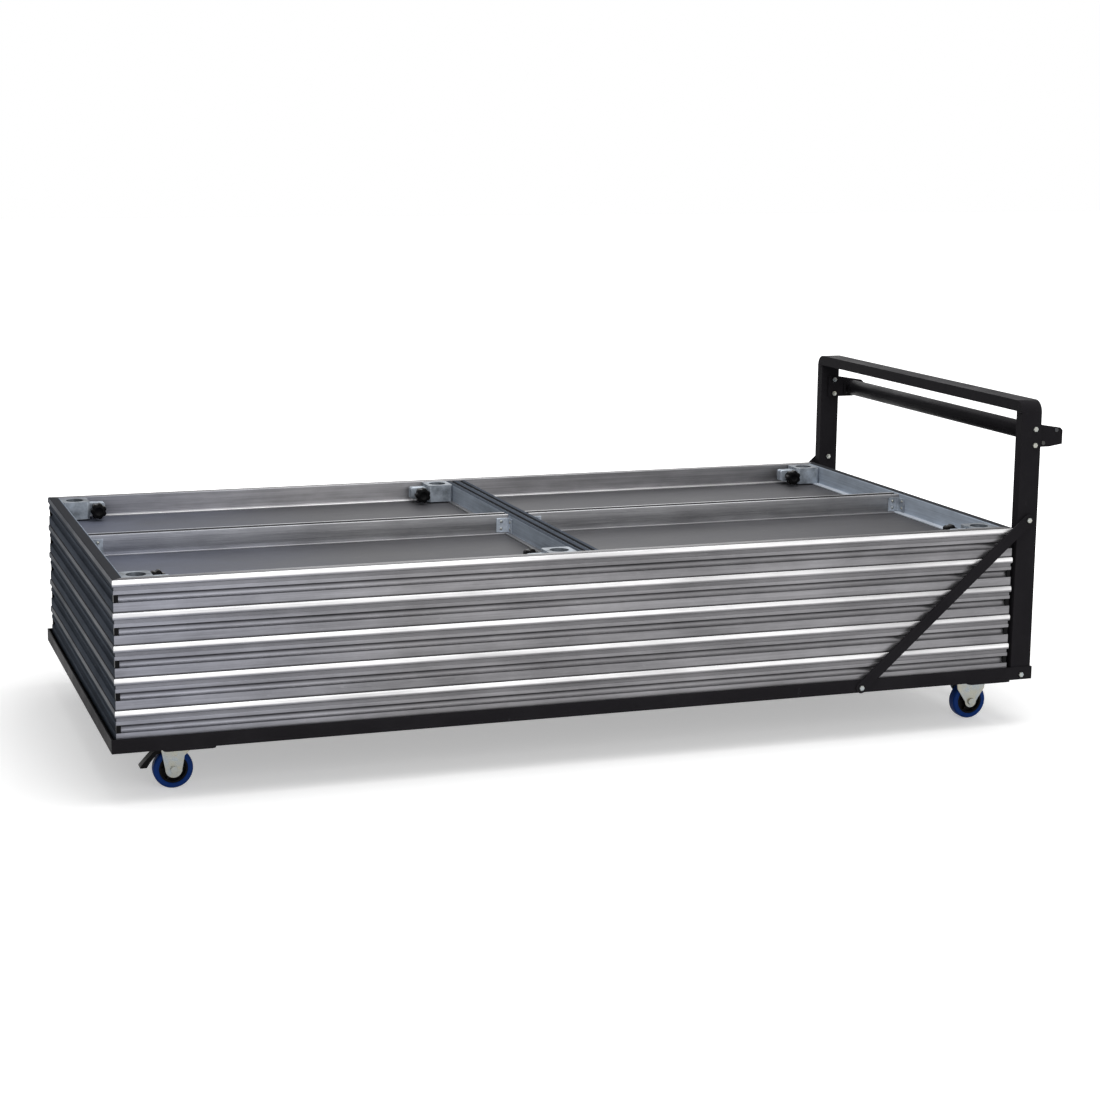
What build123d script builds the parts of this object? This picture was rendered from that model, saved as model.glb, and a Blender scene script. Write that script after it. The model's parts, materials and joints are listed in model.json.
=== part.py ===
from build123d import *
from math import atan2, degrees, hypot, sqrt
import os

# Storage trolley carrying a stack of stage decks that lie upside down.
# Millimetres, +Z up. The origin is on the ground under the middle of the whole trolley.
# +X runs along the trolley to its push handle, and -Y is its front side.

os.makedirs("parts", exist_ok=True)

# Stage decks
deck_count = 5
deck_length = 2440
deck_width = 1220
deck_depth = 80
panel_thickness = 24
panel_gap = 0.5

# Rim extrusion of a deck
rim_width = 30
rim_wall = 2.5
edge_wall = 5
lip_height = 18
lip_round = 5
rim_setback = 2.5
recess_height = 9
recess_depth = 1.5
groove_height = 20
groove_depth = 9
flange_reach = 20
flange_thickness = 4
corner_ease = 1.5

# Inner rails of a deck
cross_rail_width = 60
mid_rail_width = 40
inner_rail_drop = 2
inner_rail_wall = 3
inner_rail_foot = 12
rail_slot_width = 8
rail_slot_depth = 5
cross_slot_pitch = 26
joint_gap = 0.3

# Leg clamps of a deck
leg_bore_radius = 24.65
clamp_size = 76
clamp_corner = 8
clamp_floor = 4
clamp_slit = 4
ear_reach = 46
ear_thickness = 14
ear_height = 34
ear_corner = 6
knob_offset = 60
knob_diameter = 46
knob_length = 24
knob_gap = 1
knob_neck_radius = 12
knob_flutes = 7
flute_radius = 5
knob_edge = 3
screw_radius = 5
nut_plate_thickness = 6
nut_plate_size = 20

# Trolley base
angle_leg = 35
angle_wall = 4
deck_side_gap = 2
deck_end_gap = 6
deck_post_gap = 8
bearer_width = 40
bearer_height = 20
bearer_wall = 2
bearer_count = 5
weld_gap = 0.3

# Hoop and braces at the handle end
post_width = 60
post_depth = 30
post_wall = 2.5
hoop_height = 770
hoop_bend = 32
brace_width = 30
brace_thickness = 5
brace_run = 490
brace_rise = 431
spacer_radius = 12

# Push handle
handle_radius = 24.15
handle_wall = 3
handle_drop = 103
handle_offset = 46
bracket_thickness = 5
bracket_overlap = 38
bracket_reach = 86
bracket_height = 64
bracket_top_fall = 13
bracket_bottom_rise = 6
bracket_corner_cut = 7
bracket_above_handle = 36
bracket_bolt_spacing = 44
bracket_bolt_inset = 18
end_plate_thickness = 4
end_plate_width = 60
end_plate_height = 50
end_plate_corner = 8
rivet_radius = 3
rivet_head_radius = 6
rivet_head_height = 3
rivet_dome_share = 0.6
rivet_offset_x = 20
rivet_offset_z = 17

# Hexagon bolts of the frame
bolt_radius = 4
bolt_head_radius = 7.5
bolt_head_height = 5.5
bolt_hole_gap = 0.3
nut_height = 6.5
bolt_tail = 4
head_ease_share = 0.2
hex_sides = 6

# Castors
wheel_radius = 50
wheel_width = 32
tyre_depth = 14
tyre_round = 7
hub_width = 28
hub_web = 8
hub_boss_radius = 14
hub_rib_count = 6
hub_rib_thickness = 4
hub_rim_thickness = 5
axle_radius = 6
axle_tail = 4
axle_head_radius = 9.5
axle_head_height = 6
wheel_head_gap = 8.7
castor_trail = 24
swivel_end_inset = 190
fixed_end_inset = 128
castor_side_inset = 120
castor_plate_length = 105
castor_plate_width = 85
castor_plate_thickness = 4
castor_plate_corner = 8
castor_hole_pitch_x = 80
castor_hole_pitch_y = 60
race_radius = 30
race_height = 8
race_gap = 0.3
crown_radius = 34
crown_thickness = 4
fork_leg_thickness = 3
fork_side_gap = 2
fork_end_radius = 21
fork_front_reach = 30
fork_rear_reach = 32
fork_shoulder_half = 27.5
fork_shoulder_rise = 34
skirt_height = 6
race_ease = 2
fixed_end_radius = 17
fixed_shoulder_half = 41
fixed_shoulder_rise = 36
fixed_root_half = 46
kingpin_radius = 6
kingpin_head_radius = 10
kingpin_head_height = 5
kingpin_cap_height = 3
mount_plate_length = 130
mount_plate_width = 200
mount_plate_thickness = 5
mount_plate_corner = 12

# Brake pedals: the outlines are shares of the reach and the drop from the pivot
pedal_pivot_x = 22
pedal_tyre_gap = 1.4
pedal_pin_radius = 3
pedal_sleeve_radius = 6
pedal_width = 30
pedal_reach = 60
pedal_drop = 46
pedal_lip = 4
pedal_outer_shares = ((0.4, 0.09), (0.73, 0.52))
pedal_inner_shares = ((0.73, 1), (0.58, 0.7), (0.33, 0.3))

# Running fit of pins and bolts in their holes, and the overrun of cuts
fit_gap = 0.05
overrun = 2

# Heights
crown_low = 2 * wheel_radius + wheel_head_gap
castor_plate_base = crown_low + crown_thickness + race_gap + race_height
castor_height = castor_plate_base + castor_plate_thickness
kingpin_low = crown_low - race_gap - kingpin_head_height
pedal_pivot_distance = wheel_radius + pedal_tyre_gap + pedal_sleeve_radius
pedal_pivot_z = wheel_radius + sqrt(pedal_pivot_distance**2 - pedal_pivot_x**2)
rail_base = castor_height + mount_plate_thickness
flange_top = rail_base + angle_wall
deck_base = flange_top + bearer_height
hoop_top = rail_base + hoop_height
frame_bolt_z = (flange_top + deck_base) / 2
brace_head_z = frame_bolt_z + brace_rise
handle_z = hoop_top - handle_drop
bracket_top_z = handle_z + bracket_above_handle
bracket_low_z = bracket_top_z - bracket_height
bracket_tip_z = bracket_top_z - bracket_top_fall
bracket_middle_z = (bracket_top_z + bracket_low_z) / 2
panel_flange_top = panel_thickness + flange_thickness
groove_low = panel_thickness
inner_rail_top = deck_depth - inner_rail_drop
clamp_height = inner_rail_top - panel_flange_top
knob_height = panel_flange_top + clamp_height / 2

# Places along the length, from the trolley's far end at -X to the handle bracket's tip
base_length = angle_wall + deck_end_gap + deck_length + deck_post_gap + post_width + angle_wall
overall_length = base_length - angle_wall + bracket_reach
base_left = -overall_length / 2
base_right = base_left + base_length
base_middle = (base_left + base_right) / 2
post_right = base_right - angle_wall
post_left = post_right - post_width
post_middle = (post_left + post_right) / 2
deck_right = post_left - deck_post_gap
deck_left = deck_right - deck_length
deck_middle = (deck_left + deck_right) / 2
handle_x = post_right + handle_offset
brace_foot_x = post_middle - brace_run
bracket_left = post_right - bracket_overlap
bracket_right = post_right + bracket_reach

# Places across the width, measured from the middle
base_half = deck_width / 2 + deck_side_gap + angle_wall
post_outer = base_half - angle_wall
post_inner = post_outer - post_depth
bracket_inner = post_inner - bracket_thickness
end_plate_inner = bracket_inner - end_plate_thickness
brace_outer = base_half + brace_thickness

# Places of the castors: end name, middle of the plate along X, and how far the wheel trails.
# The far ones swivel, and the ones at the handle end are fixed.
castor_y = base_half - castor_side_inset
castor_ends = (
    ("far", base_left + swivel_end_inset, castor_trail),
    ("handle", base_right - fixed_end_inset, 0),
)
fork_outer = wheel_width / 2 + fork_side_gap + fork_leg_thickness
sides = (("front", -1), ("back", 1))

# Places of the leg clamps along X, and the way their ears point
clamp_inset = rim_width + joint_gap + clamp_size / 2
clamp_ends = (
    ("far", deck_left + clamp_inset, 1),
    ("mid", deck_middle - (cross_rail_width + clamp_size) / 2 - joint_gap, -1),
    ("handle", deck_right - clamp_inset, -1),
)


def save(piece, name):
    """Labels a finished piece and writes its file."""
    piece.label = name
    export_step(piece, "parts/" + name + ".step")


def group(parts, lift=0):
    """Gathers parts as separate solids in one piece, raised by a height."""
    solids = [solid for part in parts for solid in part.solids()]
    return Compound([solid.moved(Location((0, 0, lift))) for solid in solids])


def rail_plane(lengthwise, middle, base):
    """Plane across a rail: its x runs across the rail and its y runs up."""
    if lengthwise:
        return Plane((middle, 0, base), x_dir=(0, 1, 0), z_dir=(1, 0, 0))
    return Plane((middle, 0, base), x_dir=(1, 0, 0), z_dir=(0, -1, 0))


def mitre_prism(lengthwise, side, run, span, depth, middle, base, height):
    """Block with 45 degree ends, whose overlap with a straight rail is the mitred rail."""
    far, near = span / 2, span / 2 - depth
    corners = [
        (-run / 2, side * far),
        (run / 2, side * far),
        (run / 2 - depth, side * near),
        (depth - run / 2, side * near),
    ]
    if not lengthwise:
        corners = [(across, along) for along, across in corners]
    with BuildPart() as prism:
        with BuildSketch(Plane.XY.offset(base)):
            with Locations((middle, 0)):
                Polygon(*corners, align=None)
        extrude(amount=height)
    return prism.part


def rim_section(side, half):
    """Closed section of a deck's rim: grooved face, rounded lip, hollow box and panel flange."""

    def at(inward, height):
        return (side * (half - inward), height)

    groove_top = groove_low + groove_height
    recess_low = deck_depth - lip_height - recess_height
    lip_low = deck_depth - lip_height
    recess = rim_setback + recess_depth
    flange_tip = rim_width + flange_reach
    upper_low = groove_top + rim_wall
    upper_high = deck_depth - rim_wall
    lower_low = panel_flange_top
    lower_inward = rim_setback + groove_depth + rim_wall
    upper_inward = recess + rim_wall
    box_inward = rim_width - rim_wall
    with BuildSketch() as section:
        with BuildLine():
            Polyline(at(rim_setback + edge_wall, 0), at(rim_setback, 0), at(rim_setback, groove_low))
            ThreePointArc(
                at(rim_setback, groove_low),
                at(rim_setback + groove_depth, groove_low + groove_height / 2),
                at(rim_setback, groove_top),
            )
            Polyline(
                at(rim_setback, groove_top),
                at(rim_setback, recess_low),
                at(recess, recess_low),
                at(recess, lip_low),
                at(rim_setback, lip_low),
                at(0, lip_low + rim_setback),
                at(0, deck_depth - lip_round),
            )
            RadiusArc(
                at(0, deck_depth - lip_round),
                at(lip_round, deck_depth),
                -side * lip_round,
            )
            Polyline(
                at(lip_round, deck_depth),
                at(rim_width - corner_ease, deck_depth),
                at(rim_width, deck_depth - corner_ease),
                at(rim_width, panel_flange_top),
                at(flange_tip, panel_flange_top),
                at(flange_tip, panel_thickness),
                at(rim_setback + edge_wall, panel_thickness),
                at(rim_setback + edge_wall, 0),
            )
        make_face()
        with BuildLine():
            Polyline(
                at(upper_inward, upper_low),
                at(upper_inward, upper_high - lip_round),
                at(upper_inward + lip_round, upper_high),
                at(box_inward, upper_high),
                at(box_inward, upper_low),
                close=True,
            )
        make_face(mode=Mode.SUBTRACT)
        with BuildLine():
            Polyline(
                at(lower_inward, lower_low),
                at(lower_inward, groove_top),
                at(box_inward, groove_top),
                at(box_inward, lower_low),
                close=True,
            )
        make_face(mode=Mode.SUBTRACT)
    return section.sketch


def rim_rail(lengthwise, side):
    """One side of a deck's rim, cut at 45 degrees where it meets its neighbours."""
    run, span = (deck_length, deck_width) if lengthwise else (deck_width, deck_length)
    with BuildPart() as rail:
        with BuildSketch(rail_plane(lengthwise, deck_middle, 0)):
            add(rim_section(side, span / 2))
        extrude(amount=run / 2, both=True)
        depth = rim_width + flange_reach
        prism = mitre_prism(lengthwise, side, run, span, depth, deck_middle, 0, deck_depth)
        add(prism, mode=Mode.INTERSECT)
    return rail.part


def inner_rail(plane, width, slots, body_start, body_end, foot_start, foot_end):
    """Hollow inner rail with slots along its top and a foot flange that lies on the panel."""
    middle_height = (panel_flange_top + inner_rail_top) / 2
    body_height = inner_rail_top - panel_flange_top
    with BuildPart() as rail:
        with BuildSketch(plane.offset(body_start)):
            with Locations((0, middle_height)):
                Rectangle(width, body_height)
            hollow_top = inner_rail_top - rail_slot_depth - inner_rail_wall
            hollow_low = panel_flange_top + inner_rail_wall
            with Locations((0, (hollow_top + hollow_low) / 2)):
                Rectangle(
                    width - 2 * inner_rail_wall, hollow_top - hollow_low, mode=Mode.SUBTRACT
                )
            with Locations(*[(slot, inner_rail_top - rail_slot_depth / 2) for slot in slots]):
                Rectangle(rail_slot_width, rail_slot_depth, mode=Mode.SUBTRACT)
        extrude(amount=body_end - body_start)
        with BuildSketch(plane.offset(foot_start)):
            with Locations((0, panel_thickness + flange_thickness / 2)):
                Rectangle(width + 2 * inner_rail_foot, flange_thickness)
        extrude(amount=foot_end - foot_start)
    return rail.part


def inner_rails():
    """The cross rail at half length and the two mid rails that butt against it."""
    half_cross = cross_rail_width / 2
    half_inside = deck_width / 2 - rim_width - joint_gap
    half_foot = half_inside - flange_reach
    across = Plane((deck_middle, 0, 0), x_dir=(-1, 0, 0), z_dir=(0, 1, 0))
    along = Plane((deck_middle, 0, 0), x_dir=(0, 1, 0), z_dir=(1, 0, 0))
    slots = (-cross_slot_pitch / 2, cross_slot_pitch / 2)
    rails = [
        inner_rail(
            across, cross_rail_width, slots, -half_inside, half_inside, -half_foot, half_foot
        )
    ]
    near = half_cross + joint_gap
    foot_near = near + inner_rail_foot
    end = deck_length / 2 - rim_width - joint_gap
    foot_end = end - flange_reach
    rails.append(inner_rail(along, mid_rail_width, (0,), near, end, foot_near, foot_end))
    rails.append(inner_rail(along, mid_rail_width, (0,), -end, -near, -foot_end, -foot_near))
    return rails


def deck_panel():
    """Board of a deck, held in the rim under the panel flange."""
    inset = rim_setback + edge_wall + panel_gap
    with BuildPart() as panel:
        with BuildSketch(Plane.XY):
            with Locations((deck_middle, 0)):
                Rectangle(deck_length - 2 * inset, deck_width - 2 * inset)
        extrude(amount=panel_thickness)
    return panel.part


def leg_clamp(x, y, ear_way):
    """Cast socket for a deck leg: blind bore, slit and two ears that the clamp screw pulls in."""
    low = panel_flange_top
    ear_tip = clamp_size / 2 + ear_reach
    ears_y = clamp_slit / 2 + ear_thickness
    with BuildPart() as clamp:
        with BuildSketch(Plane.XY.offset(low)):
            with Locations((x, y)):
                RectangleRounded(clamp_size, clamp_size, clamp_corner)
        extrude(amount=clamp_height)
        ear_plane = Plane((x, y + ears_y, knob_height), x_dir=(1, 0, 0), z_dir=(0, -1, 0))
        with BuildSketch(ear_plane):
            with Locations((ear_way * ear_tip / 2, 0)):
                Rectangle(ear_tip, ear_height)
        extrude(amount=2 * ears_y)
        tip_edges = clamp.edges().filter_by(Axis.Y).group_by(Axis.X)[-1 if ear_way > 0 else 0]
        fillet(tip_edges, ear_corner)
        with BuildSketch(Plane.XY.offset(low + clamp_floor)):
            with Locations((x, y)):
                Circle(leg_bore_radius)
            with Locations((x + ear_way * (ear_tip + overrun) / 2, y)):
                Rectangle(ear_tip + overrun, clamp_slit)
        extrude(amount=clamp_height, mode=Mode.SUBTRACT)
        slit_low = knob_height - ear_height / 2
        with BuildSketch(Plane.XY.offset(slit_low - overrun)):
            with Locations((x + ear_way * (clamp_size / 2 + ear_reach / 2 + overrun), y)):
                Rectangle(ear_reach + 2 * overrun, clamp_slit)
        extrude(amount=ear_height, mode=Mode.SUBTRACT)
        screw_plane = Plane(
            (x + ear_way * knob_offset, y, knob_height), x_dir=(1, 0, 0), z_dir=(0, -1, 0)
        )
        with BuildSketch(screw_plane):
            Circle(screw_radius + fit_gap)
        extrude(amount=ears_y + overrun, both=True, mode=Mode.SUBTRACT)
    return clamp.part


def clamp_knob(x, y, ear_way, bay_way):
    """Fluted hand knob on its clamp screw, with the square nut plate behind the outer ear."""
    centre = (x + ear_way * knob_offset, y, knob_height)
    out = Plane(centre, x_dir=(1, 0, 0), z_dir=(0, bay_way, 0))
    ears_y = clamp_slit / 2 + ear_thickness
    neck_start = ears_y + joint_gap
    knob_start = clamp_size / 2 + knob_gap
    tail_start = -ears_y - joint_gap
    with BuildPart() as knob:
        with BuildSketch(out.offset(neck_start)):
            Circle(knob_neck_radius)
        extrude(amount=knob_start - neck_start)
        with BuildSketch(out.offset(knob_start)):
            Circle(knob_diameter / 2)
            with PolarLocations(knob_diameter / 2 + flute_radius / 2, knob_flutes):
                Circle(flute_radius, mode=Mode.SUBTRACT)
        extrude(amount=knob_length)
        rim_face = knob.faces().filter_by(Axis.Y).sort_by(Axis.Y)[-1 if bay_way > 0 else 0]
        chamfer(rim_face.edges(), knob_edge)
        with BuildSketch(out.offset(tail_start - nut_plate_thickness)):
            Circle(screw_radius)
        extrude(amount=nut_plate_thickness - tail_start + knob_start)
        with BuildSketch(out.offset(tail_start - nut_plate_thickness)):
            RectangleRounded(nut_plate_size, nut_plate_size, corner_ease)
        extrude(amount=nut_plate_thickness)
    return knob.part


def clamp_places():
    """Name, place and directions of each leg clamp of a deck."""
    places = []
    for end, x, ear_way in clamp_ends:
        for side, sign in sides:
            places.append((end + "_" + side, x, sign * (deck_width / 2 - clamp_inset), ear_way, -sign))
    return places


def build_decks():
    """All decks of the stack, from the lowest to the top one."""
    rims = [rim_rail(lengthwise, side) for lengthwise in (True, False) for side in (-1, 1)]
    rails = inner_rails()
    panels = [deck_panel()]
    places = clamp_places()
    clamps = [leg_clamp(x, y, ear_way) for name, x, y, ear_way, bay_way in places]
    knobs = [clamp_knob(x, y, ear_way, bay_way) for name, x, y, ear_way, bay_way in places]
    for number in range(deck_count):
        lift = deck_base + number * deck_depth
        top = number == deck_count - 1
        name = "top_deck" if top else "deck_" + str(number + 1)
        save(group(rims if top else rims + rails, lift), name + "_frame")
        save(group(panels, lift), name + "_panel")
        save(group(clamps if top else clamps + knobs, lift), name + "_leg_clamps")
        if top:
            save(group(rails, lift), name + "_inner_rails")
            for place, knob in zip(places, knobs):
                save(group([knob], lift), "clamp_knob_" + place[0])


def angle_rail(lengthwise, side):
    """One side of the base frame: an angle with its upright leg outside, mitred at both ends."""
    run, span = (base_length, 2 * base_half) if lengthwise else (2 * base_half, base_length)
    half = span / 2
    with BuildPart() as rail:
        with BuildSketch(rail_plane(lengthwise, base_middle, rail_base)):
            with BuildLine():
                Polyline(
                    (side * half, 0),
                    (side * half, angle_leg),
                    (side * (half - angle_wall), angle_leg),
                    (side * (half - angle_wall), angle_wall),
                    (side * (half - angle_leg), angle_wall),
                    (side * (half - angle_leg), 0),
                    close=True,
                )
            make_face()
        extrude(amount=run / 2, both=True)
        prism = mitre_prism(lengthwise, side, run, span, angle_leg, base_middle, rail_base, angle_leg)
        add(prism, mode=Mode.INTERSECT)
        if lengthwise:
            with BuildSketch(side_plane(side, base_half)):
                bolt_places = (post_middle, brace_foot_x)
                with Locations(*[side_place(side, x, frame_bolt_z) for x in bolt_places]):
                    Circle(bolt_radius + bolt_hole_gap)
            extrude(amount=-angle_wall, mode=Mode.SUBTRACT)
    return rail.part


def side_plane(side, distance):
    """Upright plane along the trolley at a distance from its middle, facing outwards."""
    if side < 0:
        return Plane((0, -distance, 0), x_dir=(1, 0, 0), z_dir=(0, -1, 0))
    return Plane((0, distance, 0), x_dir=(-1, 0, 0), z_dir=(0, 1, 0))


def side_place(side, x, z):
    """A place on a side plane, whose x runs the other way on the back side."""
    return (-side * x, z)


def build_base():
    """Base frame of mitred angles, with cross bearers and a plate above each castor."""
    for name, side in sides:
        save(angle_rail(True, side), "side_rail_" + name)
    save(group([angle_rail(False, side) for side in (-1, 1)]), "end_rails")

    bearer_length = 2 * (post_outer - weld_gap)
    with BuildPart() as bearers:
        with BuildSketch(Plane((0, -bearer_length / 2, 0), x_dir=(-1, 0, 0), z_dir=(0, 1, 0))):
            with Locations(*[(-x, flange_top + bearer_height / 2) for x in bearer_places()]):
                Rectangle(bearer_width, bearer_height)
                inside = (bearer_width - 2 * bearer_wall, bearer_height - 2 * bearer_wall)
                Rectangle(*inside, mode=Mode.SUBTRACT)
        extrude(amount=bearer_length)
    save(group([bearers.part]), "deck_bearers")

    plates = [mount_plate(x, side, trail) for end, x, trail in castor_ends for name, side in sides]
    save(group(plates), "castor_mounting_plates")


def bearer_places():
    """Places of the bearers along X: one above each pair of castors, the others between."""
    first, last = castor_ends[0][1], castor_ends[1][1]
    pitch = (last - first) / (bearer_count - 1)
    return [first + number * pitch for number in range(bearer_count)]


def mount_plate(x, side, trail):
    """Steel plate under the side rail and a bearer, drilled for the castor's bolts and kingpin."""
    y = side * (base_half - mount_plate_width / 2)
    pad_width = mount_plate_width - angle_leg - weld_gap
    pad_y = side * (base_half - mount_plate_width + pad_width / 2)
    with BuildPart() as plate:
        with BuildSketch(Plane.XY.offset(castor_height)):
            with Locations((x, y)):
                RectangleRounded(mount_plate_length, mount_plate_width, mount_plate_corner)
        extrude(amount=mount_plate_thickness)
        with BuildSketch(Plane.XY.offset(rail_base)):
            with Locations((x, pad_y)):
                Rectangle(bearer_width, pad_width)
        extrude(amount=angle_wall)
        with BuildSketch(Plane.XY.offset(castor_height)):
            with Locations((x, side * castor_y)):
                with GridLocations(castor_hole_pitch_x, castor_hole_pitch_y, 2, 2):
                    Circle(bolt_radius + bolt_hole_gap)
                if trail:
                    Circle(kingpin_head_radius + bolt_hole_gap)
        extrude(amount=mount_plate_thickness, mode=Mode.SUBTRACT)
    return plate.part


def build_hoop():
    """Two posts and the top bar that joins them, all of one box tube."""
    post_y = (post_outer + post_inner) / 2
    for name, side in sides:
        with BuildPart() as post:
            with BuildSketch(Plane.XY.offset(flange_top)):
                with Locations((post_middle, side * post_y)):
                    Rectangle(post_width, post_depth)
                    inside = (post_width - 2 * post_wall, post_depth - 2 * post_wall)
                    Rectangle(*inside, mode=Mode.SUBTRACT)
            extrude(amount=hoop_top - hoop_bend - flange_top)
            with BuildSketch(side_plane(side, post_outer)):
                with Locations(*[side_place(side, x, z) for x, z in post_bolt_places()]):
                    Circle(bolt_radius + bolt_hole_gap)
            extrude(amount=-post_depth, mode=Mode.SUBTRACT)
        save(post.part, "post_" + name)

    bend_y = post_outer - hoop_bend
    bend_z = hoop_top - hoop_bend
    with BuildPart() as bar:
        for side in (-1, 1):
            with BuildSketch(Plane((0, side * bend_y, 0), x_dir=(1, 0, 0), z_dir=(0, -1, 0))) as end:
                with Locations((post_middle, hoop_top - post_depth / 2)):
                    Rectangle(post_width, post_depth)
                    inside = (post_width - 2 * post_wall, post_depth - 2 * post_wall)
                    Rectangle(*inside, mode=Mode.SUBTRACT)
            bend_axis = Axis((0, side * bend_y, bend_z), (-side, 0, 0))
            revolve(end.sketch, axis=bend_axis, revolution_arc=90)
        extrude(end.sketch, amount=2 * bend_y)
    save(bar.part, "top_bar")


def post_bolt_places():
    """Places of the bolts through a post: its foot, the brace head and the handle bracket."""
    bracket_x = post_right - bracket_bolt_inset
    return [
        (post_middle, frame_bolt_z),
        (post_middle, brace_head_z),
        (bracket_x, bracket_middle_z - bracket_bolt_spacing / 2),
        (bracket_x, bracket_middle_z + bracket_bolt_spacing / 2),
    ]


def build_braces():
    """Flat bars from the side rails up to the posts, with a spacer behind each head."""
    length = hypot(brace_run, brace_rise)
    slope = degrees(atan2(brace_rise, brace_run))
    middle = ((brace_foot_x + post_middle) / 2, (frame_bolt_z + brace_head_z) / 2)
    ends = [(brace_foot_x, frame_bolt_z), (post_middle, brace_head_z)]
    spacers = []
    for name, side in sides:
        with BuildPart() as brace:
            with BuildSketch(side_plane(side, base_half)):
                with Locations(side_place(side, *middle)):
                    SlotCenterToCenter(length, brace_width, rotation=-side * slope)
                with Locations(*[side_place(side, *place) for place in ends]):
                    Circle(bolt_radius + bolt_hole_gap, mode=Mode.SUBTRACT)
            extrude(amount=brace_thickness)
        save(brace.part, "brace_" + name)
        with BuildPart() as spacer:
            with BuildSketch(side_plane(side, post_outer)):
                with Locations(side_place(side, post_middle, brace_head_z)):
                    Circle(spacer_radius)
                    Circle(bolt_radius + bolt_hole_gap, mode=Mode.SUBTRACT)
            extrude(amount=angle_wall)
        spacers.append(spacer.part)
    save(group(spacers), "brace_spacers")


def build_handle():
    """Round push bar between two plate brackets on the posts' inner faces."""
    with BuildPart() as tube:
        with BuildSketch(Plane((0, -end_plate_inner, 0), x_dir=(-1, 0, 0), z_dir=(0, 1, 0))):
            with Locations((-handle_x, handle_z)):
                Circle(handle_radius)
                Circle(handle_radius - handle_wall, mode=Mode.SUBTRACT)
        extrude(amount=2 * end_plate_inner)
    save(tube.part, "push_handle")

    rivet_places = [
        (handle_x + way * rivet_offset_x, handle_z + way * rivet_offset_z) for way in (-1, 1)
    ]
    bolt_places = post_bolt_places()[2:]
    brackets, end_plates, rivets = [], [], []
    for name, side in sides:
        with BuildPart() as bracket:
            with BuildSketch(side_plane(side, bracket_inner)):
                with BuildLine():
                    Polyline(
                        *[
                            side_place(side, x, z)
                            for x, z in (
                                (bracket_left, bracket_low_z),
                                (handle_x, bracket_low_z),
                                (bracket_right, bracket_low_z + bracket_bottom_rise),
                                (bracket_right, bracket_tip_z - bracket_corner_cut),
                                (bracket_right - bracket_corner_cut, bracket_tip_z),
                                (post_right, bracket_top_z),
                                (bracket_left, bracket_top_z),
                            )
                        ],
                        close=True,
                    )
                make_face()
                with Locations(*[side_place(side, *place) for place in bolt_places]):
                    Circle(bolt_radius + bolt_hole_gap, mode=Mode.SUBTRACT)
                with Locations(*[side_place(side, *place) for place in rivet_places]):
                    Circle(rivet_radius + fit_gap, mode=Mode.SUBTRACT)
            extrude(amount=bracket_thickness)
        brackets.append(bracket.part)
        with BuildPart() as end_plate:
            with BuildSketch(side_plane(side, end_plate_inner)):
                with Locations(side_place(side, handle_x, handle_z)):
                    RectangleRounded(end_plate_width, end_plate_height, end_plate_corner)
                with Locations(*[side_place(side, *place) for place in rivet_places]):
                    Circle(rivet_radius + fit_gap, mode=Mode.SUBTRACT)
            extrude(amount=end_plate_thickness)
        end_plates.append(end_plate.part)
        for place in rivet_places:
            with BuildPart() as rivet:
                with BuildSketch(side_plane(side, end_plate_inner)):
                    with Locations(side_place(side, *place)):
                        Circle(rivet_radius)
                extrude(amount=end_plate_thickness + bracket_thickness)
                with BuildSketch(side_plane(side, post_inner)):
                    with Locations(side_place(side, *place)):
                        Circle(rivet_head_radius)
                extrude(amount=rivet_head_height)
                rim = rivet.faces().sort_by(Axis.Y)[-1 if side > 0 else 0].edges()
                fillet(rim, rivet_head_height * rivet_dome_share)
            rivets.append(rivet.part)
    save(group(brackets), "handle_brackets")
    save(group(end_plates), "handle_end_plates")
    save(group(rivets), "handle_rivets")


def hex_bolt(seat, grip):
    """Hexagon bolt on a seat plane that faces outwards, through a grip of that length."""
    with BuildPart() as bolt:
        with BuildSketch(seat):
            RegularPolygon(bolt_head_radius, hex_sides)
        extrude(amount=bolt_head_height)
        head_rim = bolt.edges().group_by(Axis(seat.origin, seat.z_dir))[-1]
        chamfer(head_rim, bolt_head_height * head_ease_share)
        with BuildSketch(seat):
            Circle(bolt_radius)
        extrude(amount=-(grip + nut_height + bolt_tail))
    return bolt.part


def hex_nut(seat, grip):
    """Nut of such a bolt, at the far end of its grip."""
    with BuildPart() as nut:
        with BuildSketch(seat.offset(-grip)):
            RegularPolygon(bolt_head_radius, hex_sides)
            Circle(bolt_radius + fit_gap, mode=Mode.SUBTRACT)
        extrude(amount=-nut_height)
    return nut.part


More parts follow.
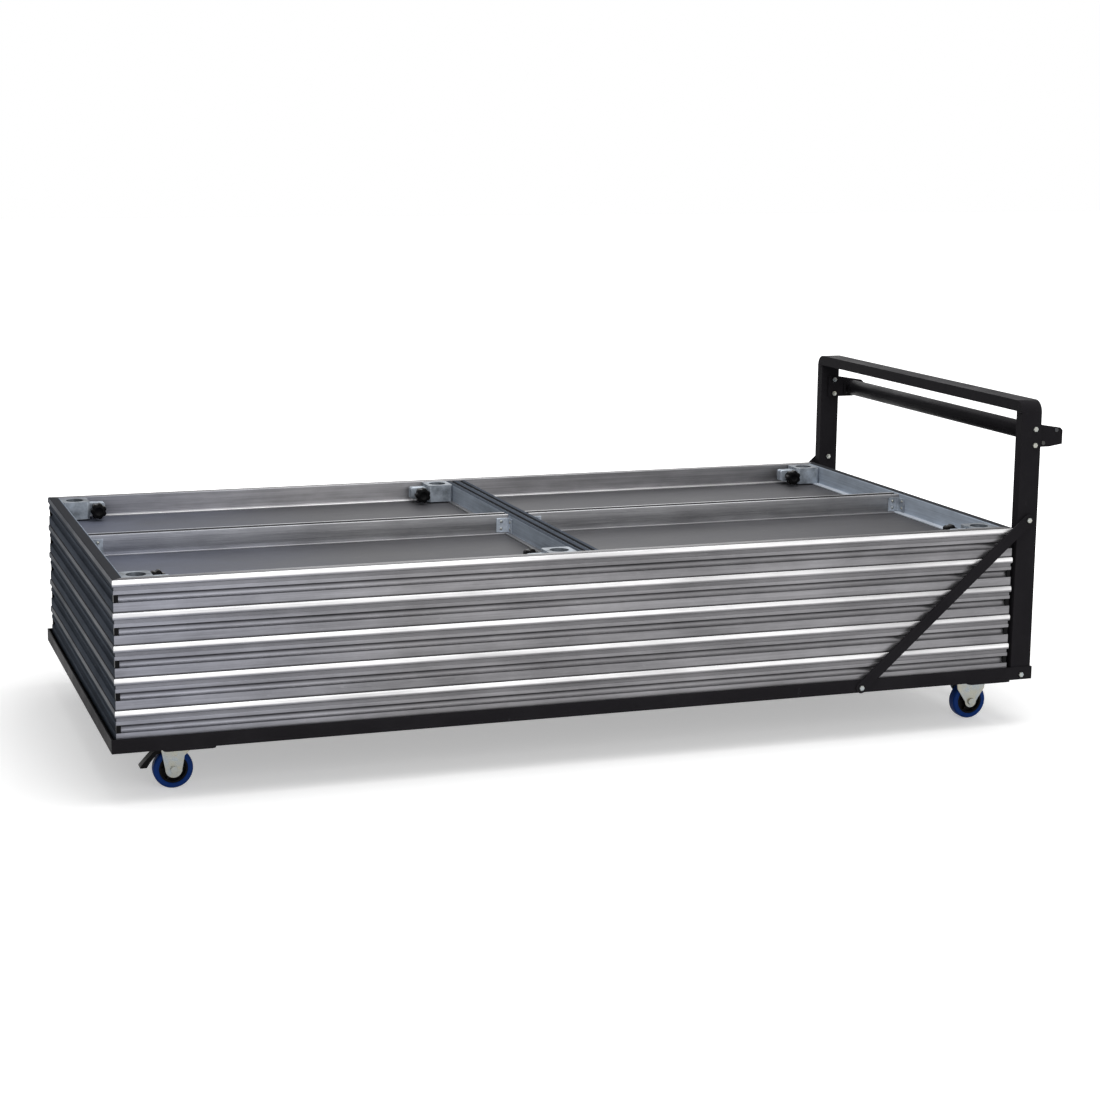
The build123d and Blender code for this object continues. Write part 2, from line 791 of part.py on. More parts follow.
def build_fasteners():
    """All hexagon bolts and nuts of the frame and of the castor plates."""
    seats = []
    for name, side in sides:
        foot, brace_head, *bracket = post_bolt_places()
        seats.append((side_plane(side, base_half), side_place(side, *foot), angle_wall + post_depth))
        brace_foot = side_place(side, brace_foot_x, frame_bolt_z)
        seats.append((side_plane(side, brace_outer), brace_foot, brace_thickness + angle_wall))
        head_grip = brace_thickness + angle_wall + post_depth
        seats.append((side_plane(side, brace_outer), side_place(side, *brace_head), head_grip))
        for place in bracket:
            grip = post_depth + bracket_thickness
            seats.append((side_plane(side, post_outer), side_place(side, *place), grip))
        for end, x, trail in castor_ends:
            for hole_x in (-castor_hole_pitch_x / 2, castor_hole_pitch_x / 2):
                for hole_y in (-castor_hole_pitch_y / 2, castor_hole_pitch_y / 2):
                    place = (x + hole_x, side * castor_y + hole_y)
                    plate_grip = mount_plate_thickness + castor_plate_thickness
                    seats.append((Plane.XY.offset(rail_base), place, plate_grip))
    bolts, nuts = [], []
    for plane, place, grip in seats:
        seat = Plane(plane.from_local_coords(Vector(*place)), x_dir=plane.x_dir, z_dir=plane.z_dir)
        bolts.append(hex_bolt(seat, grip))
        nuts.append(hex_nut(seat, grip))
    save(group(bolts), "hex_bolts")
    save(group(nuts), "hex_nuts")


def castor_top_plate(x, y):
    """Castor's mounting plate with the upper ball race under it."""
    with BuildPart() as plate:
        with BuildSketch(Plane.XY.offset(castor_plate_base)):
            with Locations((x, y)):
                RectangleRounded(castor_plate_length, castor_plate_width, castor_plate_corner)
        extrude(amount=castor_plate_thickness)
        with BuildSketch(Plane.XY.offset(castor_plate_base - race_height)):
            with Locations((x, y)):
                Circle(race_radius)
        extrude(amount=race_height)
        race_rim = plate.faces().sort_by(Axis.Z)[0].edges()
        chamfer(race_rim, race_ease)
        with BuildSketch(Plane.XY.offset(castor_plate_base - race_height)):
            with Locations((x, y)):
                Circle(kingpin_radius + fit_gap)
                with GridLocations(castor_hole_pitch_x, castor_hole_pitch_y, 2, 2):
                    Circle(bolt_radius + bolt_hole_gap)
        extrude(amount=race_height + castor_plate_thickness, mode=Mode.SUBTRACT)
    return plate.part


def kingpin(x, y):
    """Rivet that hangs the fork's crown under the castor plate."""
    with BuildPart() as pin:
        with BuildSketch(Plane.XY.offset(kingpin_low)):
            with Locations((x, y)):
                Circle(kingpin_head_radius)
        extrude(amount=kingpin_head_height)
        with BuildSketch(Plane.XY.offset(kingpin_low)):
            with Locations((x, y)):
                Circle(kingpin_radius)
        extrude(amount=castor_height + kingpin_cap_height - kingpin_low)
        with BuildSketch(Plane.XY.offset(castor_height)):
            with Locations((x, y)):
                Circle(kingpin_head_radius)
        extrude(amount=kingpin_cap_height)
    return pin.part


def fork_leg(outline, wheel_x, end_radius, y, side):
    """One leg of a fork: a flat outline beside the wheel that ends round the axle."""
    with BuildPart() as leg:
        with BuildSketch(side_plane(-1, -(y + side * fork_outer))):
            with BuildLine():
                Polyline(*outline, close=True)
            make_face()
            with Locations((wheel_x, wheel_radius)):
                Circle(end_radius)
                Circle(axle_radius + fit_gap, mode=Mode.SUBTRACT)
        extrude(amount=side * fork_leg_thickness)
    return leg.part


def swivel_fork(x, y):
    """Swivelling fork: round crown with a skirt, and two legs that trail behind the kingpin."""
    wheel_x = x - castor_trail
    outline = [
        (x + fork_front_reach, crown_low),
        (wheel_x - fork_rear_reach, crown_low),
        (wheel_x - fork_shoulder_half, wheel_radius + fork_shoulder_rise),
        (wheel_x - fork_end_radius, wheel_radius),
        (wheel_x + fork_end_radius, wheel_radius),
        (wheel_x + fork_shoulder_half, wheel_radius + fork_shoulder_rise),
    ]
    with BuildPart() as body:
        with BuildSketch(Plane.XY.offset(crown_low)):
            with Locations((x, y)):
                Circle(crown_radius)
        extrude(amount=crown_thickness)
        with BuildSketch(Plane.XY.offset(crown_low - skirt_height)):
            with Locations((x, y)):
                Circle(crown_radius)
                Circle(crown_radius - fork_leg_thickness, mode=Mode.SUBTRACT)
        extrude(amount=skirt_height)
        for side in (-1, 1):
            add(fork_leg(outline, wheel_x, fork_end_radius, y, side))
        with BuildSketch(Plane.XY.offset(crown_low)):
            with Locations((x, y)):
                Circle(kingpin_radius + fit_gap)
        extrude(amount=crown_thickness, mode=Mode.SUBTRACT)
        with BuildSketch(side_plane(-1, -y)):
            with Locations(pedal_pivot(x)):
                Circle(pedal_pin_radius + fit_gap)
        extrude(amount=fork_outer + overrun, both=True, mode=Mode.SUBTRACT)
    return body.part


def fixed_fork(x, y):
    """Fixed fork: a plate under the frame with two wide tapering legs bent down from it."""
    outline = [
        (x + fixed_root_half, castor_plate_base),
        (x - fixed_root_half, castor_plate_base),
        (x - fixed_shoulder_half, wheel_radius + fixed_shoulder_rise),
        (x - fixed_end_radius, wheel_radius),
        (x + fixed_end_radius, wheel_radius),
        (x + fixed_shoulder_half, wheel_radius + fixed_shoulder_rise),
    ]
    with BuildPart() as body:
        with BuildSketch(Plane.XY.offset(castor_plate_base)):
            with Locations((x, y)):
                RectangleRounded(castor_plate_length, castor_plate_width, castor_plate_corner)
                with GridLocations(castor_hole_pitch_x, castor_hole_pitch_y, 2, 2):
                    Circle(bolt_radius + bolt_hole_gap, mode=Mode.SUBTRACT)
        extrude(amount=castor_plate_thickness)
        for side in (-1, 1):
            add(fork_leg(outline, x, fixed_end_radius, y, side))
    return body.part


def pedal_pivot(x):
    """Place of the pedal's pin, above the trailing side of the tyre."""
    return (x - castor_trail - pedal_pivot_x, pedal_pivot_z)


def pedal_pin(x, y):
    """Riveted pin that the brake pedal turns on."""
    with BuildPart() as pin:
        with BuildSketch(side_plane(-1, -y)):
            with Locations(pedal_pivot(x)):
                Circle(pedal_pin_radius)
        extrude(amount=fork_outer, both=True)
    return pin.part


def brake_pedal(x, y):
    """Foot pedal that curves down round the tyre from its sleeve on the pin."""
    pivot_x, pivot_z = pedal_pivot(x)

    def at(reach_share, drop_share):
        return (pivot_x - reach_share * pedal_reach, pivot_z - drop_share * pedal_drop)

    with BuildPart() as pedal:
        with BuildSketch(side_plane(-1, -y)):
            with BuildLine():
                Polyline(
                    (pivot_x, pivot_z + pedal_sleeve_radius),
                    *[at(*shares) for shares in pedal_outer_shares],
                    (pivot_x - pedal_reach, pivot_z - pedal_drop + pedal_lip),
                    (pivot_x - pedal_reach, pivot_z - pedal_drop),
                    *[at(*shares) for shares in pedal_inner_shares],
                    (pivot_x, pivot_z - pedal_sleeve_radius),
                    close=True,
                )
            make_face()
            with Locations((pivot_x, pivot_z)):
                Circle(pedal_sleeve_radius)
                Circle(pedal_pin_radius + fit_gap, mode=Mode.SUBTRACT)
        extrude(amount=pedal_width / 2, both=True)
    return pedal.part


def axle(x, y):
    """Wheel bolt through both fork legs."""
    with BuildPart() as bolt:
        with BuildSketch(side_plane(-1, -(y - fork_outer))):
            with Locations((x, wheel_radius)):
                RegularPolygon(axle_head_radius, hex_sides)
        extrude(amount=axle_head_height)
        with BuildSketch(side_plane(-1, -(y - fork_outer))):
            with Locations((x, wheel_radius)):
                Circle(axle_radius)
        extrude(amount=-(2 * fork_outer + axle_head_height + axle_tail))
    return bolt.part


def axle_nut(x, y):
    """Lock nut at the far end of the wheel bolt."""
    with BuildPart() as nut:
        with BuildSketch(side_plane(-1, -(y + fork_outer))):
            with Locations((x, wheel_radius)):
                RegularPolygon(axle_head_radius, hex_sides)
                Circle(axle_radius + fit_gap, mode=Mode.SUBTRACT)
        extrude(amount=-axle_head_height)
    return nut.part


def hub(x, y):
    """Wheel centre: boss, ribbed web and the rim that carries the tyre."""
    rim_radius = wheel_radius - tyre_depth
    bore_plane = side_plane(-1, -y)
    with BuildPart() as centre:
        with BuildSketch(bore_plane):
            with Locations((x, wheel_radius)):
                Circle(rim_radius)
                Circle(rim_radius - hub_rim_thickness, mode=Mode.SUBTRACT)
        extrude(amount=hub_width / 2, both=True)
        with BuildSketch(bore_plane):
            with Locations((x, wheel_radius)):
                Circle(rim_radius - hub_rim_thickness / 2)
        extrude(amount=hub_web / 2, both=True)
        with BuildSketch(bore_plane):
            with Locations((x, wheel_radius)):
                with PolarLocations(rim_radius / 2, hub_rib_count):
                    Rectangle(rim_radius - hub_rim_thickness, hub_rib_thickness)
        extrude(amount=hub_width / 2 - hub_rim_thickness / 2, both=True)
        with BuildSketch(bore_plane):
            with Locations((x, wheel_radius)):
                Circle(hub_boss_radius)
        extrude(amount=wheel_width / 2 + fork_side_gap - joint_gap, both=True)
        with BuildSketch(bore_plane):
            with Locations((x, wheel_radius)):
                Circle(axle_radius + fit_gap)
        extrude(amount=wheel_width, both=True, mode=Mode.SUBTRACT)
    return centre.part


def tyre(x, y):
    """Rubber tyre with rounded shoulders."""
    with BuildPart() as ring:
        with BuildSketch(Plane((x, y, wheel_radius), x_dir=(0, 1, 0), z_dir=(1, 0, 0))):
            with Locations((0, -wheel_radius + tyre_depth / 2)):
                Rectangle(wheel_width, tyre_depth)
        revolve(axis=Axis((x, y, wheel_radius), (0, 1, 0)))
        tread = ring.edges().filter_by(GeomType.CIRCLE).group_by(SortBy.RADIUS)[-1]
        fillet(tread, tyre_round)
    return ring.part


def build_castors():
    """Two swivel castors with brake pedals at the far end, two fixed ones at the handle end."""
    top_plates, kingpins = [], []
    for end, x, trail in castor_ends:
        wheel_x = x - trail
        for name, side in sides:
            y = side * castor_y
            place = end + "_" + name
            if trail:
                top_plates.append(castor_top_plate(x, y))
                kingpins.append(kingpin(x, y))
                save(group([swivel_fork(x, y), pedal_pin(x, y)]), "castor_fork_" + place)
                save(brake_pedal(x, y), "brake_pedal_" + name)
            else:
                save(fixed_fork(x, y), "castor_fork_" + place)
            save(group([axle(wheel_x, y), axle_nut(wheel_x, y)]), "castor_axle_" + place)
            save(hub(wheel_x, y), "wheel_hub_" + place)
            save(tyre(wheel_x, y), "tyre_" + place)
    save(group(top_plates), "castor_top_plates")
    save(group(kingpins), "castor_kingpins")


build_base()
build_hoop()
build_braces()
build_handle()
build_fasteners()
build_castors()
build_decks()
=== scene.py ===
import json
import math
from functools import cached_property
from itertools import product

import bmesh
import bpy
import numpy as np
from bpy.props import FloatProperty, FloatVectorProperty, IntProperty, PointerProperty
from mathutils import Matrix, Vector


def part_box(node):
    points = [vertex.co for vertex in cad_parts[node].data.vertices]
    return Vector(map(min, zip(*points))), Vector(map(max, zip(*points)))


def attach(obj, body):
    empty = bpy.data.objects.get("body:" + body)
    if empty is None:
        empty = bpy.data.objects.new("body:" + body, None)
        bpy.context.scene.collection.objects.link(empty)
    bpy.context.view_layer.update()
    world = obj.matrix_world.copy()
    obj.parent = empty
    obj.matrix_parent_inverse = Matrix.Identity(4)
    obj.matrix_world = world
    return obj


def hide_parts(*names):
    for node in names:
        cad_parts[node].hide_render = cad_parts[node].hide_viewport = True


# Looks of a storage trolley that carries a stack of stage decks lying upside down.
# Lengths are in metres where nothing says millimetres.

bl_info = {
    "name": "Storage Trolley Looks",
    "version": (1, 0, 0),
    "blender": (4, 5, 0),
    "location": "3D View > Sidebar > Trolley",
    "description": "Finishes and fine pieces of a storage trolley with its stack of stage decks",
    "category": "Object",
}

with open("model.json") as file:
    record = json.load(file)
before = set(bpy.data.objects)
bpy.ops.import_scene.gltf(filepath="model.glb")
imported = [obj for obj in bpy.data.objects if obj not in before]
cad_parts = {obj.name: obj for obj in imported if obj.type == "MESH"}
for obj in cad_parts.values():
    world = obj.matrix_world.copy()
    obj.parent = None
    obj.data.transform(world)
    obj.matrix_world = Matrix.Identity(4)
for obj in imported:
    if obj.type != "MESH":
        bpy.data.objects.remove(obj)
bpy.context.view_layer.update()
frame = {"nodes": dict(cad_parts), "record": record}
NODES = frame["nodes"]
MM = 0.001

DECKS = ("deck_1", "deck_2", "deck_3", "deck_4", "top_deck")
SIDES = ("front", "back")
KNOB_PLACES = [end + "_" + side for end in ("far", "mid", "handle") for side in SIDES]
WHEEL_PLACES = [end + "_" + side for end in ("far", "handle") for side in SIDES]
HUBS_AND_PEDALS = ["wheel_hub_" + place for place in WHEEL_PLACES] + [
    "brake_pedal_" + side for side in SIDES
]

# Sections of the decks' bars in millimetres, as in the CAD model. Heights start at the foot of
# a deck as it lies, and depths at its outer face.
DECK_DEPTH = 80
BOARD_TOP = 24
FLANGE_TOP = 28
FLANGE_REACH = 20
RIM_WIDTH = 30
RIM_SETBACK = 2.5
RIM_FOOT = 5
LIP_FOOT = 62
LIP_ROUND = 5
RECESS_FOOT = 53
RECESS_DEPTH = 1.5
GROOVE_MIDDLE = 34
GROOVE_HALF = 10
GROOVE_DEPTH = 9
CROSS_HALF = 30
MID_HALF = 20
RAIL_TOP = 78
RAIL_FOOT = 12
SLOT_FLOOR = 72
CROSS_SLOT_PLACE = 13
CROSS_SLOT_HALF = 6
MID_SLOT_HALF = 11
JOINT_GAP = 0.3

# Leg clamps, plugs and cleats of the decks, in millimetres and degrees
CLAMP_HALF = 38
CLAMP_KNOB_GAP = 1
BORE_RADIUS = 24.65
PLUG_LENGTH = 15
PLUG_RADIUS = 9.9
PLUG_ANGLE = 76
CLEAT_LEG = 36
CLEAT_WALL = 3
CLEAT_LENGTH = 40
CLEAT_FOOT = 29
SCREW_PLACE = 22
SCREW_HEIGHTS = (10, 30)

# Trolley base and knobs, in metres
ANGLE_WALL = 4 * MM
ANGLE_LEG = 35 * MM
BEARER_COUNT = 5
BEARER_WIDTH = 40 * MM
KNOB_THROAT = 2 * MM

# Faces that meet at a larger angle have a sharp edge
SHARP_ANGLE = math.radians(40)


class Span:
    """Box of a CAD node: its lowest and highest corner, its middle and half its size."""

    def __init__(self, node):
        self.low, self.high = (np.array(corner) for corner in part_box(node))
        self.middle = (self.low + self.high) / 2
        self.half = (self.high - self.low) / 2


def nodes_in(slot):
    """Names of the CAD nodes that the record gives a material slot."""
    parts = frame["record"]["subparts"]
    return [part["node"] for part in parts if part["material_slot"] == slot]


def setting(kind, name, description, default, **rest):
    """A property of one of the kinds in bpy.props."""
    return kind(name=name, description=description, default=default, **rest)


def length(name, description, default):
    """A length property in millimetres."""
    return setting(FloatProperty, name, description + " in millimetres", default, min=0)


def count(name, description, default):
    """A property that counts parts of a round shape."""
    return setting(IntProperty, name, description, default, min=3)


def angle(name, description, default):
    """An angle property, whose default is in degrees."""
    radians = math.radians(default)
    return setting(FloatProperty, name, description, radians, subtype="ANGLE", unit="ROTATION")


def colour(name, description, default):
    """A colour property."""
    limits = {"subtype": "COLOR", "size": 3, "min": 0, "max": 1}
    return setting(FloatVectorProperty, name, description, default, **limits)


class TrolleyFinishes(bpy.types.PropertyGroup):
    """Colours of the finishes, and of painted light and shade on the decks."""

    rim_grey: colour("Rims", "Extruded aluminium of the deck rims", (0.216, 0.213, 0.222))
    # Painted shade: the bars across the deck are darker and bluer than the bars along it
    shaded_end_grey: colour("Bars across", "Aluminium of the bars across", (0.052, 0.062, 0.080))
    # Painted light: the inner faces of the bars across are pale
    lit_inside_grey: colour("Inner faces", "Inner faces of the bars across", (0.37, 0.42, 0.49))
    # Painted highlight on the rims' lip and flange and on the rails' feet
    lip_highlight_white: colour("Lip", "Rounded lip along the deck rims", (0.86, 0.855, 0.86))
    rail_grey: colour("Inner rails", "Inner rails of the decks", (0.31, 0.31, 0.322))
    cast_grey: colour("Leg clamps", "Cast leg clamps", (0.37, 0.41, 0.46))
    board_grey: colour("Boards", "Film on the deck boards", (0.060, 0.060, 0.065))
    coat_black: colour("Powder coat", "Powder coat of the trolley", (0.0155, 0.0145, 0.0165))
    cleat_grey: colour("Cleats", "Angle cleats of the mid rails", (0.50, 0.55, 0.62))
    zinc_grey: colour("Zinc", "Zinc plating", (0.34, 0.345, 0.33))
    rivet_grey: colour("Rivets", "Rivets dulled by paint", (0.05, 0.05, 0.053))
    tyre_blue: colour("Tyres", "Rubber of the tyres", (0.002, 0.030, 0.17))
    plastic_black: colour("Plastic", "Knobs, hubs and pedals", (0.004, 0.004, 0.0045))


class TrolleyKnobs(bpy.types.PropertyGroup):
    """Sizes of the clamp knobs."""

    flutes: count("Flutes", "Number of flutes round a knob", 7)
    flute_depth: length("Flute depth", "Depth of a flute", 3.6)
    grip_length: length("Grip length", "Length of the fluted grip", 24)
    edge_round: length("Edge rounding", "Rounding of the grip's edges", 5)
    neck_radius: length("Neck radius", "Radius of the neck", 11)
    neck_length: length("Neck length", "Length of the neck", 22.7)
    screw_radius: length("Screw radius", "Radius of the clamp screw", 4.9)
    thread_pitch: length("Thread pitch", "Pitch of the screw's thread", 1.75)
    thread_depth: length("Thread depth", "Depth of the screw's thread", 0.9)
    plate_thickness: length("Nut plate", "Thickness of the nut plate", 6)
    plate_half: length("Nut plate half", "Half the width of the nut plate", 10)


class TrolleyTyres(bpy.types.PropertyGroup):
    """Sizes of the tyres."""

    depth: length("Depth", "Depth of the rubber", 14)
    shoulder: length("Shoulder", "Radius of the shoulders", 6.5)
    crown: length("Crown", "Height of the tread's crown", 0.8)
    steps: count("Steps", "Steps round the wheel", 96)


class TrolleyWelds(bpy.types.PropertyGroup):
    """Sizes of the weld beads on the frame."""

    radius: length("Bead radius", "Radius of a bead", 2.6)
    ripple_pitch: length("Ripple pitch", "Distance between ripples", 2.2)
    ripple_share: setting(
        FloatProperty, "Ripple share", "Height of a ripple as a share of the bead's radius", 0.14,
        min=0, max=1,
    )


class TrolleyStage(bpy.types.PropertyGroup):
    """Place, direction and lens of the camera."""

    camera_place: setting(
        FloatVectorProperty, "Camera", "Place of the camera", (-2.0445, -5.7628, 1.6397),
        subtype="TRANSLATION", unit="LENGTH", size=3,
    )
    yaw: angle("Yaw", "Turn of the view from +Y towards +X", 18.593)
    pitch: angle("Pitch", "Tilt of the view below the horizon", 9.669)
    roll: angle("Roll", "Turn of the picture about the view", 0.437)
    lens: setting(
        FloatProperty, "Lens", "Focal length for a sensor 36 mm wide", 72.35, unit="CAMERA"
    )
    shift: setting(
        FloatVectorProperty, "Shift", "Shift of the picture across and up", (0.0409, -0.05), size=2
    )


# Materials


class Tree:
    """Node tree of a material or a world, with short ways to add its nodes and join them."""

    def __init__(self, owner, shader="Principled BSDF"):
        owner.use_nodes = True
        self.owner = owner
        self.tree = owner.node_tree
        self.shader = self.tree.nodes[shader]

    @cached_property
    def place(self):
        """The place on the object."""
        return self.add("TexCoord", {}).outputs["Object"]

    @cached_property
    def axes(self):
        """The place on the object as separate X, Y and Z."""
        return self.add("SeparateXYZ", {0: self.place}).outputs

    def add(self, kind, inputs, **settings):
        """Adds a node, whose inputs are plain values or sockets of other nodes."""
        node = self.tree.nodes.new("ShaderNode" + kind)
        for key, value in settings.items():
            setattr(node, key, value)
        for key, value in inputs.items():
            self.join(value, node.inputs[key])
        return node

    def join(self, value, socket):
        """Gives a socket a value, or links it to another socket."""
        if isinstance(value, bpy.types.NodeSocket):
            self.tree.links.new(value, socket)
        else:
            socket.default_value = value

    def math(self, operation, *values):
        """Result of one calculation, which goes on from left to right over all the values."""
        inputs = dict(enumerate(values[:2]))
        result = self.add("Math", inputs, operation=operation).outputs[0]
        return self.math(operation, result, *values[2:]) if values[2:] else result

    def times(self, *values):
        """Product of values."""
        return self.math("MULTIPLY", *values)

    def distance(self, value, place):
        """How far a value is from a place."""
        return self.math("ABSOLUTE", self.math("SUBTRACT", value, place))

    def scaled(self, factors):
        """The place on the object, stretched by three factors."""
        inputs = {0: self.place, 1: factors}
        return self.add("VectorMath", inputs, operation="MULTIPLY").outputs[0]

    def noise(self, scale, detail=3.0, roughness=0.5, place=None):
        """Cloudy noise from 0 to 1 on the object, or on another place."""
        place = place or self.place
        inputs = {"Vector": place, "Scale": scale, "Detail": detail, "Roughness": roughness}
        return self.add("TexNoise", inputs).outputs[0]

    def remap(self, value, low, high, new_low, new_high, **settings):
        """A value carried from one range to another and held inside it."""
        names = ("Value", "From Min", "From Max", "To Min", "To Max")
        inputs = dict(zip(names, (value, low, high, new_low, new_high)))
        return self.add("MapRange", inputs, **settings).outputs[0]

    def spread(self, noise, new_low, new_high):
        """Noise, which mostly lies from 0.3 to 0.7, carried to another range."""
        return self.remap(noise, 0.3, 0.7, new_low, new_high)

    def above(self, value, low, high):
        """0 up to the low length and 1 from the high one, both in millimetres."""
        return self.remap(value, low * MM, high * MM, 0.0, 1.0)

    def below(self, value, low, high):
        """1 up to the low length and 0 from the high one, both in millimetres."""
        return self.remap(value, low * MM, high * MM, 1.0, 0.0)

    def mix(self, factor, first, second, kind="RGBA", **settings):
        """What lies between two colours, or two vectors or numbers as the kind says."""
        result = ("FLOAT", "VECTOR", "RGBA").index(kind)
        inputs = {0: factor, 2 * result + 2: first, 2 * result + 3: second}
        return self.add("Mix", inputs, data_type=kind, **settings).outputs[result]

    def choose(self, factor, first, second):
        """The first number where a factor is 0 and the second where it is 1."""
        return self.mix(factor, first, second, "FLOAT")

    def shade(self, tint, value):
        """A colour made lighter or darker by a value round 1."""
        grey = self.add("CombineColor", {0: value, 1: value, 2: value}).outputs[0]
        return self.mix(1.0, tint, grey, blend_type="MULTIPLY")

    def bump(self, height, depth, below=None):
        """Normal of a surface with small heights, of that depth in millimetres."""
        inputs = {"Height": height, "Distance": depth * MM}
        if below:
            inputs["Normal"] = below
        return self.add("Bump", inputs).outputs[0]

    def seen_directly(self):
        """1 for rays from the camera, a glossy surface or a clear one, and 0 for other rays."""
        path = self.add("LightPath", {}).outputs
        rays = [path["Is " + kind + " Ray"] for kind in ("Camera", "Glossy", "Transmission")]
        return self.math("MAXIMUM", *rays)

    def finish(self, **inputs):
        """Sets the shader's inputs, named with _ for a space, and gives the material or world."""
        for key, value in inputs.items():
            self.join(value, self.shader.inputs[key.replace("_", " ")])
        return self.owner


def rgba(tint, gain=1.0):
    """Colour times a gain, or three, and held to 1, with full opacity."""
    return (*np.minimum(np.multiply(tint, gain), 1.0), 1.0)


def height_in_deck(tree):
    """Height above the foot of the deck that the place belongs to.

    It is the remainder of the height above the stack's foot by the depth of a deck, counted
    from a little lower, so that a foot belongs to its own deck.
    """
    slack = 1 * MM
    above_stack = tree.math("SUBTRACT", tree.axes["Z"], Span("deck_1_frame").low[2] - slack)
    return tree.math("SUBTRACT", tree.math("MODULO", above_stack, DECK_DEPTH * MM), slack)


def far_sheen(tree, amount):
    """Amount of a painted pale blue reflection, which fades from the decks' far end towards their
    middle.
    """
    far_end, full_to, none_from = Span("top_deck_frame").low[0], 0.1, 0.75
    return tree.remap(tree.axes["X"], far_end + full_to, far_end + none_from, amount, 0.0)


def rim_areas(tree, height):
    """Areas of a rim from 0 to 1: bars across, inner faces, painted highlights and painted shade.

    A bar runs across the deck where the place is nearer to the deck's end than to its side. The
    lip and the flange get a painted highlight. The foot gets painted shade, and so does what lies
    behind the face over the groove's middle, the recess and the flat top.
    """
    deck = Span("top_deck_frame")
    from_middle = tree.distance(tree.axes["X"], deck.middle[0])
    from_end = tree.math("SUBTRACT", deck.half[0], from_middle)
    from_side = tree.math("SUBTRACT", deck.high[1], tree.math("ABSOLUTE", tree.axes["Y"]))
    across = tree.math("LESS_THAN", from_end, from_side)
    from_face = tree.math("MINIMUM", from_end, from_side)
    patches = tree.noise(scale=1.6, detail=2.0, place=tree.scaled((1.0, 1.0, 6.0)))
    # Painted highlight along the lip
    lip = tree.times(
        tree.above(height, LIP_FOOT + 5, LIP_FOOT + 8),
        tree.below(from_face, LIP_ROUND - 2, LIP_ROUND),
        tree.remap(patches, 0.35, 0.55, 0.5, 1.0),
    )
    # Painted highlight along the flange over the board
    flange = tree.times(
        tree.below(height, FLANGE_TOP + 0.5, FLANGE_TOP + 1.5),
        tree.above(from_face, RIM_WIDTH + 1, RIM_WIDTH + 2),
    )
    # Painted shade behind the face: upper groove, recess and flat top
    shade_behind_face = tree.times(
        tree.above(height, GROOVE_MIDDLE - 1, GROOVE_MIDDLE + 9),
        tree.above(from_face, RIM_SETBACK + 0.7, RIM_SETBACK + 2.5),
    )
    # Painted shade at the foot and behind the face
    painted_shade = tree.times(
        tree.math("MAXIMUM", tree.below(height, 2, 4.5), shade_behind_face),
        tree.below(from_face, RIM_WIDTH - 5, RIM_WIDTH - 4),
    )
    inner = tree.above(from_face, RIM_WIDTH - 3, RIM_WIDTH - 1)
    return across, inner, tree.math("MAXIMUM", lip, flange), painted_shade


def rail_areas(tree, height):
    """Areas of the inner rails from 0 to 1: cross rail, inner faces, painted highlights, painted
    shade.

    The cross rail is near the deck's half length, and has the brighter painted highlight on its
    feet. Painted shade lies in the slots.
    """
    from_middle = tree.distance(tree.axes["X"], Span("top_deck_frame").middle[0])
    across = tree.math("LESS_THAN", from_middle, (CROSS_HALF + JOINT_GAP - 0.1) * MM)
    inner = tree.below(height, RAIL_TOP - 1.4, RAIL_TOP - 0.6)
    # Painted highlight on the rails' feet, stronger on the cross rail
    bright = tree.times(
        tree.below(height, FLANGE_TOP - 0.5, FLANGE_TOP + 0.5),
        tree.choose(across, 0.12, 2.6),
    )
    beside = tree.math("ABSOLUTE", tree.axes["Y"])
    from_slot = tree.choose(
        across, tree.math("SUBTRACT", beside, (MID_SLOT_HALF - CROSS_SLOT_HALF) * MM),
        tree.distance(from_middle, CROSS_SLOT_PLACE * MM),
    )
    # Painted shade in the slots
    painted_shade = tree.times(
        tree.below(from_slot, CROSS_SLOT_HALF + 0.3, CROSS_SLOT_HALF + 0.7),
        tree.above(height, SLOT_FLOOR - 0.5, SLOT_FLOOR + 0.5), 1.2,
    )
    return across, inner, bright, painted_shade


